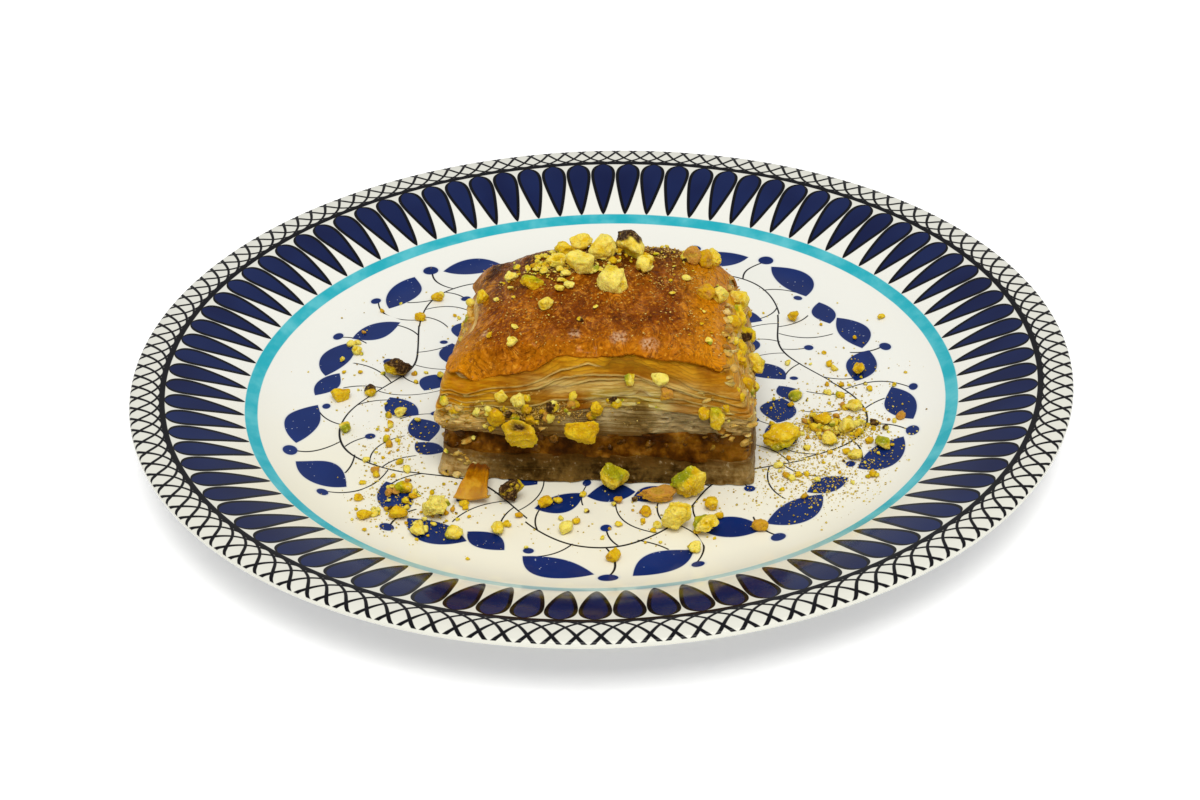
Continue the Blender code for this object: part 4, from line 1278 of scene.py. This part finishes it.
RIGHT_NUTS = (                   # b, height, three sizes, kind
    (6.0, 23.0, 4.0, 3.4, 5.2, "tipped"), (-6.0, 21.5, 4.2, 3.2, 4.4, "olive"),
    (-15.0, 19.0, 4.4, 3.6, 4.6, "golden"), (9.0, 16.5, 4.0, 3.0, 4.0, "green"),
    (-1.0, 15.4, 5.2, 5.6, 4.6, "green"), (10.0, 24.5, 5.0, 4.4, 5.0, "yellow"),
    (-3.4, 26.2, 3.8, 3.0, 4.6, "olive"), (-10.6, 22.2, 4.6, 3.6, 3.6, "olive"),
    (-13.5, 18.2, 3.6, 3.0, 3.4, "amber"), (3.0, 20.0, 4.0, 3.2, 3.4, "dark"),
)


def slice_nuts():
    """Every fused nut as (place, size, kind, tilt)."""
    nuts = []
    for a, b, *size, kind in in_metres(CRUST_NUTS):
        nuts.append((in_slice(a, b, crust_height(a, b) + CRUST_RISE * size[2]), size, kind, 12.0))
    for a, height, *size, kind in in_metres(FRONT_NUTS):
        face = -HALF_DEPTH + inset(FRONT_INSET, height)
        nuts.append((in_slice(a, face - FACE_RISE * size[1], height), size, kind, 20.0))
    for b, height, *size, kind in in_metres(RIGHT_NUTS):
        face = footprint(np.array(1.0), np.array(b / HALF_DEPTH), height, 0.0)[0]
        nuts.append((in_slice(face + FACE_RISE * size[1], b, height), size, kind, 20.0))
    return nuts


dress(nut_cloud("nuts_on_slice", slice_nuts(), 5, nut_skin, 7, 0.17), "pistachio", "top_layers")

# %% Nuts on the plate
PLATE_RISE = 0.33                # a nut's middle over the glaze, as a share of its length
PLATE_NUTS = (                   # x, y, size, kind
    (-39.2, 43.5, 3.2, "golden"), (-43.0, 34.5, 2.8, "golden"), (-57.0, 19.5, 3.0, "yellow"),
    (-59.0, -0.5, 4.4, "golden"), (-52.5, 1.0, 3.6, "skin"), (-45.0, -8.5, 3.4, "yellow"),
    (-57.0, -14.0, 3.2, "green"), (-42.5, -38.5, 4.0, "green"), (-43.0, -48.0, 4.2, "golden"),
    (-38.5, -54.0, 4.0, "yellow"), (-50.0, -48.0, 3.2, "golden"), (-31.0, -55.5, 3.8, "green"),
    (-22.0, -54.5, 3.8, "yellow"), (-8.0, -55.0, 3.6, "yellow"), (1.4, -65.0, 3.4, "golden"),
    (22.2, -48.0, 3.6, "golden"), (8.5, -49.8, 2.8, "golden"), (17.8, -63.0, 3.4, "yellow"),
    (31.5, -56.5, 3.6, "amber"), (43.5, -7.0, 3.6, "green"), (48.5, -17.5, 4.4, "golden"),
    (53.5, -20.5, 4.6, "yellow"), (49.0, -25.5, 4.0, "green"), (56.0, -12.5, 4.0, "yellow"),
    (59.0, 3.5, 3.6, "golden"), (60.5, -27.5, 3.8, "green"), (46.5, 28.5, 3.6, "golden"),
    (54.0, -32.0, 3.4, "yellow"), (-12.5, -45.5, 3.2, "golden"),
)


def plate_nuts():
    """The nuts that lie on the plate, each resting on the glaze."""
    nuts = []
    for x, y, size, kind in in_metres(PLATE_NUTS):
        height = float(well_height(math.hypot(x, y)))
        nuts.append(((x, y, height + PLATE_RISE * size), (size, 0.8 * size, 0.7 * size), kind, 10.0))
    return nuts


dress(nut_cloud("nuts_on_plate", plate_nuts(), 4, nut_skin, 8, 0.17), "pistachio", "plate")

# %% [markdown]
# Chips and dust finish the picture. A chip is half a millimetre to two across, and dust is
# finer. Both fall in clusters, so each cluster has a middle, a spread and a count, and a
# place is drawn from a bell curve. Places under the slice are dropped.

# %% Chips and dust on the plate
CHIP_RISE = 0.3                  # a chip's middle over what it lies on, as a share of its length
STREWN_RADIUS = 0.074            # nothing small lies beyond this on the plate
PLATE_CLUSTERS = (               # x, y, spread in x, spread in y, chips, dust
    (-40.0, -45.0, 7.0, 6.0, 60, 420), (-46.0, -24.0, 4.0, 11.0, 26, 400), (-53.0, 6.0, 7.0, 10.0, 16, 60),
    (48.0, -22.0, 8.5, 9.0, 50, 900), (51.5, -19.5, 5.0, 2.8, 80, 1500), (44.0, -38.0, 9.0, 7.0, 26, 1300),
    (55.0, -5.0, 8.0, 10.0, 22, 200), (12.0, -50.0, 9.0, 6.0, 22, 90), (-10.0, -52.0, 14.0, 6.0, 12, 50),
    (45.0, 25.0, 10.0, 12.0, 7, 30), (-42.0, 35.0, 10.0, 12.0, 7, 24), (0.0, 32.0, 25.0, 9.0, 8, 40),
)


def clear_of_slice(x, y, margin):
    """True where a place is outside the slice's footprint by a margin."""
    cos, sin = math.cos(SLICE_TURN), math.sin(SLICE_TURN)
    dx, dy = x - SLICE_CENTRE[0], y - SLICE_CENTRE[1]
    a, b = dx * cos + dy * sin, dy * cos - dx * sin
    return (abs(a) > HALF_WIDTH + margin) | (abs(b) > HALF_DEPTH + 0.0012 + margin)


CHIP_SHARES = (0.3, 0.24, 0.14, 0.1, 0.07, 0.15)         # yellow, golden, green, amber, skin, olive
CRUST_SHARES = (0.55, 0.14, 0.14, 0.02, 0.07, 0.08)


def chip_kinds(draw, count, shares=CHIP_SHARES):
    """Kinds of chip in the shares that chopping gives."""
    return draw.choice(["yellow", "golden", "green", "amber", "skin", "olive"], count, p=shares)


def strewn(draw, which, low, high, margin):
    """Bits strewn by the clusters; which picks the chips' or the dust's counts."""
    bits = []
    for cluster in in_metres(PLATE_CLUSTERS):
        x0, y0, spread_x, spread_y = cluster[:4]
        count = cluster[4 + which]
        x, y = draw.normal(x0, spread_x, count), draw.normal(y0, spread_y, count)
        size = low + (high - low) * draw.random(count) ** 2.2
        keep = clear_of_slice(x, y, margin) & (np.hypot(x, y) < STREWN_RADIUS)
        for px, py, wide, kind in zip(x[keep], y[keep], size[keep], chip_kinds(draw, keep.sum())):
            rest = float(well_height(math.hypot(px, py))) + CHIP_RISE * wide
            bits.append(((px, py, rest), (wide, 0.8 * wide, 0.65 * wide), kind, 25.0))
    return bits


chips = strewn(np.random.default_rng(21), 0, 0.0008, 0.0024, 0.0012)
dress(nut_cloud("chips_on_plate", chips, 3, nut_skin, 22, 0.24, cuts=(5, 9)), "pistachio")


def dust_finish(name, *stops):
    """Ground nut and pastry in four colours, with a few red-brown grains."""
    made, where = food_finish(name)
    grain = where.clouds(800.0, 2.0)
    paint = (where.kept("tone") * 0.7 + grain * 0.4).ramp(*zip((0.15, 0.45, 0.75, 0.95), stops))
    return surface(made, paint.coat(where.kept("skin") * 0.7, (0.09, 0.05, 0.015)), 0.5 + grain * 0.2)


ground_nut = dust_finish("ground_nut", (0.78, 0.64, 0.16), (0.64, 0.47, 0.07), (0.46, 0.31, 0.04),
                         (0.26, 0.15, 0.018))
dust_skin = dust_finish("toasted_dust", (0.78, 0.56, 0.16), (0.62, 0.37, 0.065), (0.4, 0.23, 0.035),
                        (0.22, 0.1, 0.015))
dust = strewn(np.random.default_rng(23), 1, 0.00016, 0.0006, 0.0004)
dress(nut_cloud("dust_on_plate", dust, 1, ground_nut, 24, 0.05), "pistachio")

# %% Chips and dust on the crust and in the cut faces
CRUST_CLUSTERS = (               # a, b, spread in a, spread in b, chips, dust
    (-4.0, 10.0, 7.0, 4.5, 130, 900), (-11.5, 7.0, 4.5, 3.5, 130, 700), (8.0, 15.0, 9.0, 4.0, 34, 2200),
    (15.0, 6.0, 8.0, 8.0, 14, 1600), (0.0, -2.0, 17.0, 13.0, 8, 1700), (-18.0, -8.0, 8.0, 9.0, 5, 600),
    (21.0, -8.0, 4.0, 10.0, 8, 600),
)
FACE_CLUSTERS = (                # side, along, height, spreads of both, chips, crumbs of pastry
    ("front", -22.0, 15.0, 5.5, 2.4, 36, 8), ("front", -26.5, 16.0, 3.0, 1.5, 10, 80),
    ("front", -13.0, 16.0, 4.0, 2.2, 20, 6), ("front", 0.0, 18.5, 9.0, 1.2, 22, 0),
    ("front", 29.0, 16.5, 1.4, 2.6, 6, 26), ("front", -29.5, 3.5, 2.6, 2.0, 2, 10),
    ("right", -7.0, 19.5, 13.0, 5.0, 46, 200), ("left", 0.0, 16.0, 12.0, 4.0, 34, 110),
    ("back", 0.0, 16.0, 15.0, 4.0, 50, 50),
)
FILLING_BITS = 70
FRONT_DUST = 2600
CRUST_LIMITS = (0.0275, 0.0215)  # no bit on the crust lies beyond these in a and b


def on_crust(draw, which, low, high):
    """Bits that lie on the crust, drawn by its clusters."""
    bits = []
    for cluster in in_metres(CRUST_CLUSTERS):
        a0, b0, spread_a, spread_b = cluster[:4]
        count = cluster[4 + which]
        a, b = draw.normal(a0, spread_a, count), draw.normal(b0, spread_b, count)
        size = low + (high - low) * draw.random(count) ** 4.0
        where = np.stack([a, b, 0 * a], -1)
        thick = noise(where, 0.003, 2.0) + noise(where, 0.0012, 4.0)
        inside = (abs(a + 0.001) < CRUST_LIMITS[0]) & (abs(b) < CRUST_LIMITS[1])
        keep = inside & ((thick > -0.1) | (which == 0))
        a, b, size = a[keep], b[keep], size[keep]
        rest = crust_height(a, b) + crust_wrinkles(a, b) + CHIP_RISE * size
        for place, wide, kind in zip(in_slice(a, b, rest), size, chip_kinds(draw, len(a), CRUST_SHARES)):
            bits.append((place, (wide, 0.75 * wide, 0.45 * wide), kind, 25.0))
    return bits


SIDES = {"front": (None, -1.0), "right": (1.0, None), "left": (-1.0, None), "back": (None, 1.0)}


def face_place(side, along, height, depth=0.0):
    """The place on a cut face, or a depth behind it, at a distance along it from the middle."""
    s, t = SIDES[side]
    s = np.clip(along / HALF_WIDTH, -0.98, 0.98) if s is None else s
    t = np.clip(along / HALF_DEPTH, -0.98, 0.98) if t is None else t
    return footprint(np.array(s), np.array(t), height, -depth)


def on_faces(draw, which, in_front):
    """Bits stuck to the front or to the other cut faces, in clusters, none above the crust's
    edge: chips of nut, or flat crumbs of torn pastry."""
    bits = []
    for side, along, height, spread_along, spread_height, *counts in in_metres(FACE_CLUSTERS):
        count = counts[which] * ((side == "front") == in_front)
        places, heights = draw.normal(along, spread_along, count), draw.normal(height, spread_height, count)
        kinds = chip_kinds(draw, count)
        for place, level, kind in zip(places, heights, kinds):
            a, b = face_place(side, place, level)
            level = np.clip(level, 0.001, float(crust_height(a, b)) - 0.001)
            wide = 0.0007 + 0.0022 * draw.random() ** 2 + 0.0013 * which
            a, b = face_place(side, place, level, 0.2 * wide * which)
            shape = (wide, wide * 0.9, wide * draw.uniform(0.22, 0.55)) if which else (wide, wide * 0.8, wide)
            bits.append((in_slice(a, b, level), shape, str(kind), 40.0 - 12.0 * which))
    return bits


def dusted_front(draw, count):
    """Fine grains caught on the front's lower sheets, left of the middle."""
    places, heights = draw.normal(-0.014, 0.0075, count), draw.normal(0.0168, 0.0018, count)
    size = 0.0001 + 0.0003 * draw.random(count) ** 3
    kinds = chip_kinds(draw, count)
    bits = []
    for place, height, wide, kind in zip(np.clip(places, -0.031, 0.031), heights, size, kinds):
        a, b = face_place("front", place, height, -0.0003)
        bits.append((in_slice(a, b, height), (wide, 0.7 * wide, wide), str(kind), 40.0))
    return bits


def in_filling(draw):
    """Nut bits set into the filling's faces, half sunk, in the filling's darker kinds."""
    bits = []
    for side in draw.choice(list(SIDES), FILLING_BITS, p=[0.4, 0.22, 0.19, 0.19]):
        a, b = face_place(str(side), draw.uniform(-HALF_WIDTH, HALF_WIDTH), 0.008)
        low, high = float(base_height(a, b)) + 0.0006, float(filling_height(a, b)) - 0.0004
        height = draw.uniform(low, high)
        wide = 0.0012 + 0.0024 * draw.random() ** 1.5
        bits.append((in_slice(a * 0.978, b * 0.97, height), (wide, wide * 0.8, wide * 0.8), "amber", 60.0))
    return bits


draw = np.random.default_rng(31)
for name, bits, divisions, skin, seed, rough, cuts in (
        ("chips_on_crust", on_crust(draw, 0, 0.0006, 0.0026), 3, nut_skin, 32, 0.26, (4, 8)),
        ("dust_on_crust", on_crust(draw, 1, 0.0001, 0.00052), 1, dust_skin, 33, 0.05, (8, 13)),
        ("dust_in_front", dusted_front(draw, FRONT_DUST), 1, dust_skin, 39, 0.05, (8, 13)),
        ("chips_in_front", on_faces(draw, 0, True), 3, nut_skin, 34, 0.26, (5, 9)),
        ("chips_on_faces", on_faces(draw, 0, False), 2, nut_skin, 37, 0.18, (5, 9))):
    dress(nut_cloud(name, bits, divisions, skin, seed, rough, cuts=cuts), "pistachio")


def crumb_finish():
    """Torn, soaked pastry: cream to pale amber, translucent, with brown seams."""
    made, where = food_finish("torn_pastry", 0.45, PASTRY_DEPTH, 0.12)
    patch = where.clouds(260.0, 4.0, 0.65)
    fine = where.stretch(400.0, 400.0, 1400.0).clouds(1.0, 3.0, 0.6)
    paint = (patch * 0.6 + fine * 0.3 + (0.5 - where.kept("tone")) * 0.16 + 0.05).ramp(
        (0.36, (0.24, 0.09, 0.006)), (0.46, (0.45, 0.23, 0.03)),
        (0.56, (0.64, 0.4, 0.09)), (0.68, (0.82, 0.62, 0.26)))
    return surface(made, paint, 0.32 + fine * 0.25, patch.step(0.54, 0.68) * 0.25,
                   fine * 0.6 + patch * 0.4, 0.0004)


crumb_skin = crumb_finish()
for name, in_front, divisions, seed, rough, cuts in (
        ("crumbs_in_front", True, 3, 36, 0.4, (4, 8)), ("crumbs_on_faces", False, 2, 38, 0.3, (5, 9))):
    bits = on_faces(draw, 1, in_front)
    dress(nut_cloud(name, bits, divisions, crumb_skin, seed, rough, cuts=cuts), "golden_pastry")

# %% Syrup-dark bits in the filling


def soaked_nut_finish():
    """Nuts steeped in syrup: dark amber to tan, wet."""
    made, where = food_finish("soaked_nuts", 0.25, (0.0018, 0.0008, 0.0002), 0.08, more={"Coat Weight": 0.25})
    fine = where.clouds(1500.0, 3.0)
    paint = (where.clouds(230.0, 2.0) * 0.75 + fine * 0.25).ramp(
        (0.34, (0.034, 0.01, 0.0005)), (0.48, (0.1, 0.034, 0.001)),
        (0.6, (0.22, 0.095, 0.004)), (0.72, (0.4, 0.23, 0.02)))
    return surface(made, paint, 0.25 + fine * 0.25, None, fine, 0.0002, 0.6)


bits = nut_cloud("bits_in_filling", in_filling(draw), 3, soaked_nut_finish(), 35, 0.34)
dress(bits, "nut_filling", "nut_filling")

# %% [markdown]
# ### The shard
# A torn scrap of crisp pastry leans on the front. It is a thin curved sheet, so its points are
# one formula: narrower towards the tip, cupped across and curled back, as in its solid.

# %% The leaning shard
SHARD_LENGTH = 0.01
SHARD_WIDTH = 0.007
SHARD_TIP_WIDTH = 0.004
SHARD_THICKNESS = 0.0007
SHARD_LEAN = math.radians(21)
SHARD_CURL = 0.001
SHARD_ROWS, SHARD_COLUMNS = 48, 30


def shard_points(rows, columns):
    """Width falls from foot to tip, where the sheet ends in a round torn edge; height adds
    ripple and a cup of x^2 - u^2."""
    across, up = np.meshgrid(np.linspace(-1, 1, columns), np.linspace(0, 1, rows))
    spot = np.stack([across, up, 0 * up], -1)
    width = SHARD_WIDTH + (SHARD_TIP_WIDTH - SHARD_WIDTH) * up ** 0.8 + 0.0003 * np.sin(7 * up)
    ragged = 1 + 0.14 * noise(spot * [0.3, 1, 1], 0.28, 3.0) + 0.03 * noise(spot * [0.3, 1, 1], 0.1, 4.0)
    x = across * width / 2 * ragged + 0.0004 * up
    tip = 1 - 0.16 * across ** 4 - 0.1 * across ** 2 + 0.06 * noise(spot * [1, 0, 1], 0.25, 6.0)
    y = SHARD_LENGTH * up * (1 + (tip - 1) * up ** 2)
    z = 0.00022 * np.sin(5 * up + 2 * across) + SHARD_CURL * (across ** 2 - up ** 2)
    z = z + 0.00022 * noise(spot, 0.25, 9.0)
    cos, sin = math.cos(SHARD_LEAN), math.sin(SHARD_LEAN)
    return np.stack([x, y * cos - z * sin, y * sin + z * cos], -1)


def shard_finish():
    """Toffee-gold crisp pastry, translucent: golden in the body, red-brown along its torn top."""
    made, where = food_finish("crisp_shard", 0.5, (0.0025, 0.0013, 0.0004), 0.12, more={"Coat Weight": 0.12})
    up = where.kept("up")
    patch = where.clouds(260.0, 4.0, 0.6)
    foot = 1 - up.near(patch, 0.5).step(0.05, 0.45)
    brown = up.near(patch, 0.3).step(0.7, 0.9)
    paint = patch.ramp((0.36, (0.26, 0.09, 0.001)), (0.5, (0.44, 0.18, 0.002)), (0.64, (0.6, 0.32, 0.018)))
    paint = paint.coat(foot * 0.5, (0.56, 0.3, 0.045)).coat(brown * 0.9, (0.13, 0.032, 0.004))
    return surface(made, paint, 0.3 + patch * 0.2, None, where.clouds(700.0, 3.0), 0.0002, 0.6)


low, high = (np.array(corner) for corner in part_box("pastry_shard"))
flat = shard_points(SHARD_ROWS, SHARD_COLUMNS)
turn = np.array(Matrix.Rotation(SLICE_TURN, 3, "Z"))
flat = flat @ turn.T
flat += (low + high) / 2 - (flat.reshape(-1, 3).min(0) + flat.reshape(-1, 3).max(0)) / 2
shard = make_piece("leaning_shard", flat.reshape(-1, 3), grid_faces(SHARD_ROWS, SHARD_COLUMNS),
                   shard_finish())
keep_values(shard, {"up": np.repeat(np.linspace(0.0, 1.0, SHARD_ROWS), SHARD_COLUMNS)})
thicken(shard, SHARD_THICKNESS, 0.0)
dress(shard, "crisp_pastry", "pastry_shard")

# %% [markdown]
# ## The stage
# A white floor, a bright soft sky and one large soft lamp: the photograph has no hard
# shadow, only a soft grey under the plate's near edge. The camera stands where the
# photograph's stood, worked out from the plate's circles.

# %% Floor, light and camera
FLOOR_SIZE = 6.0
CAMERA_PLACE = (-0.0003, -0.403, 0.2554)
CAMERA_DOWN = math.radians(32.152)
CAMERA_ROLL = math.radians(-1.866)
LENS = 62.55
LAMP_PLACE, LAMP_TARGET = (0.05, -0.45, 0.93), (0.0, 0.0, 0.02)
LAMP_SIZE, LAMP_POWER = 0.6, 7.0
SKY_STRENGTH = 0.53


def make_floor():
    """A white square under the plate."""
    half = FLOOR_SIZE / 2
    corners = [(-half, -half, 0.0), (half, -half, 0.0), (half, half, 0.0), (-half, half, 0.0)]
    made, where = new_finish("white_floor", {
        "Roughness": 0.9, "Specular IOR Level": 0.1, "Emission Color": (1.0, 1.0, 1.0, 1.0),
        "Emission Strength": 0.35})
    shade = where.clouds(3.0).step(0.3, 0.7)
    surface(made, shade.mix((0.95, 0.95, 0.95), (0.94, 0.94, 0.94)))
    floor = make_piece("floor", corners, [(0, 1, 2, 3)], made)


def soft_lamp(name, place, target, size, power):
    """A square area lamp that faces a target."""
    lamp = bpy.data.lights.new(name, "AREA")
    lamp.size = size
    lamp.energy = power
    holder = bpy.data.objects.new(name, lamp)
    holder.location = place
    aim = Matrix.Translation(place).to_translation() - Matrix.Translation(target).to_translation()
    holder.rotation_euler = aim.to_track_quat("Z", "Y").to_euler()
    bpy.context.scene.collection.objects.link(holder)


make_floor()
soft_lamp("key_front", LAMP_PLACE, LAMP_TARGET, LAMP_SIZE, LAMP_POWER)

world = bpy.data.worlds.new("sky")
world.use_nodes = True
world.node_tree.nodes["Background"].inputs["Color"].default_value = (1.0, 1.0, 1.0, 1.0)
world.node_tree.nodes["Background"].inputs["Strength"].default_value = SKY_STRENGTH
bpy.context.scene.world = world
bpy.context.scene.view_settings.view_transform = "Standard"

camera_data = bpy.data.cameras.new("camera")
camera_data.lens = LENS
camera_data.clip_start = 0.01
camera = bpy.data.objects.new("camera", camera_data)
camera.matrix_world = (Matrix.Translation(CAMERA_PLACE) @ Matrix.Rotation(math.pi / 2 - CAMERA_DOWN, 4, "X")
                       @ Matrix.Rotation(CAMERA_ROLL, 4, "Z"))
bpy.context.scene.collection.objects.link(camera)
bpy.context.scene.camera = camera
print("camera at", CAMERA_PLACE)
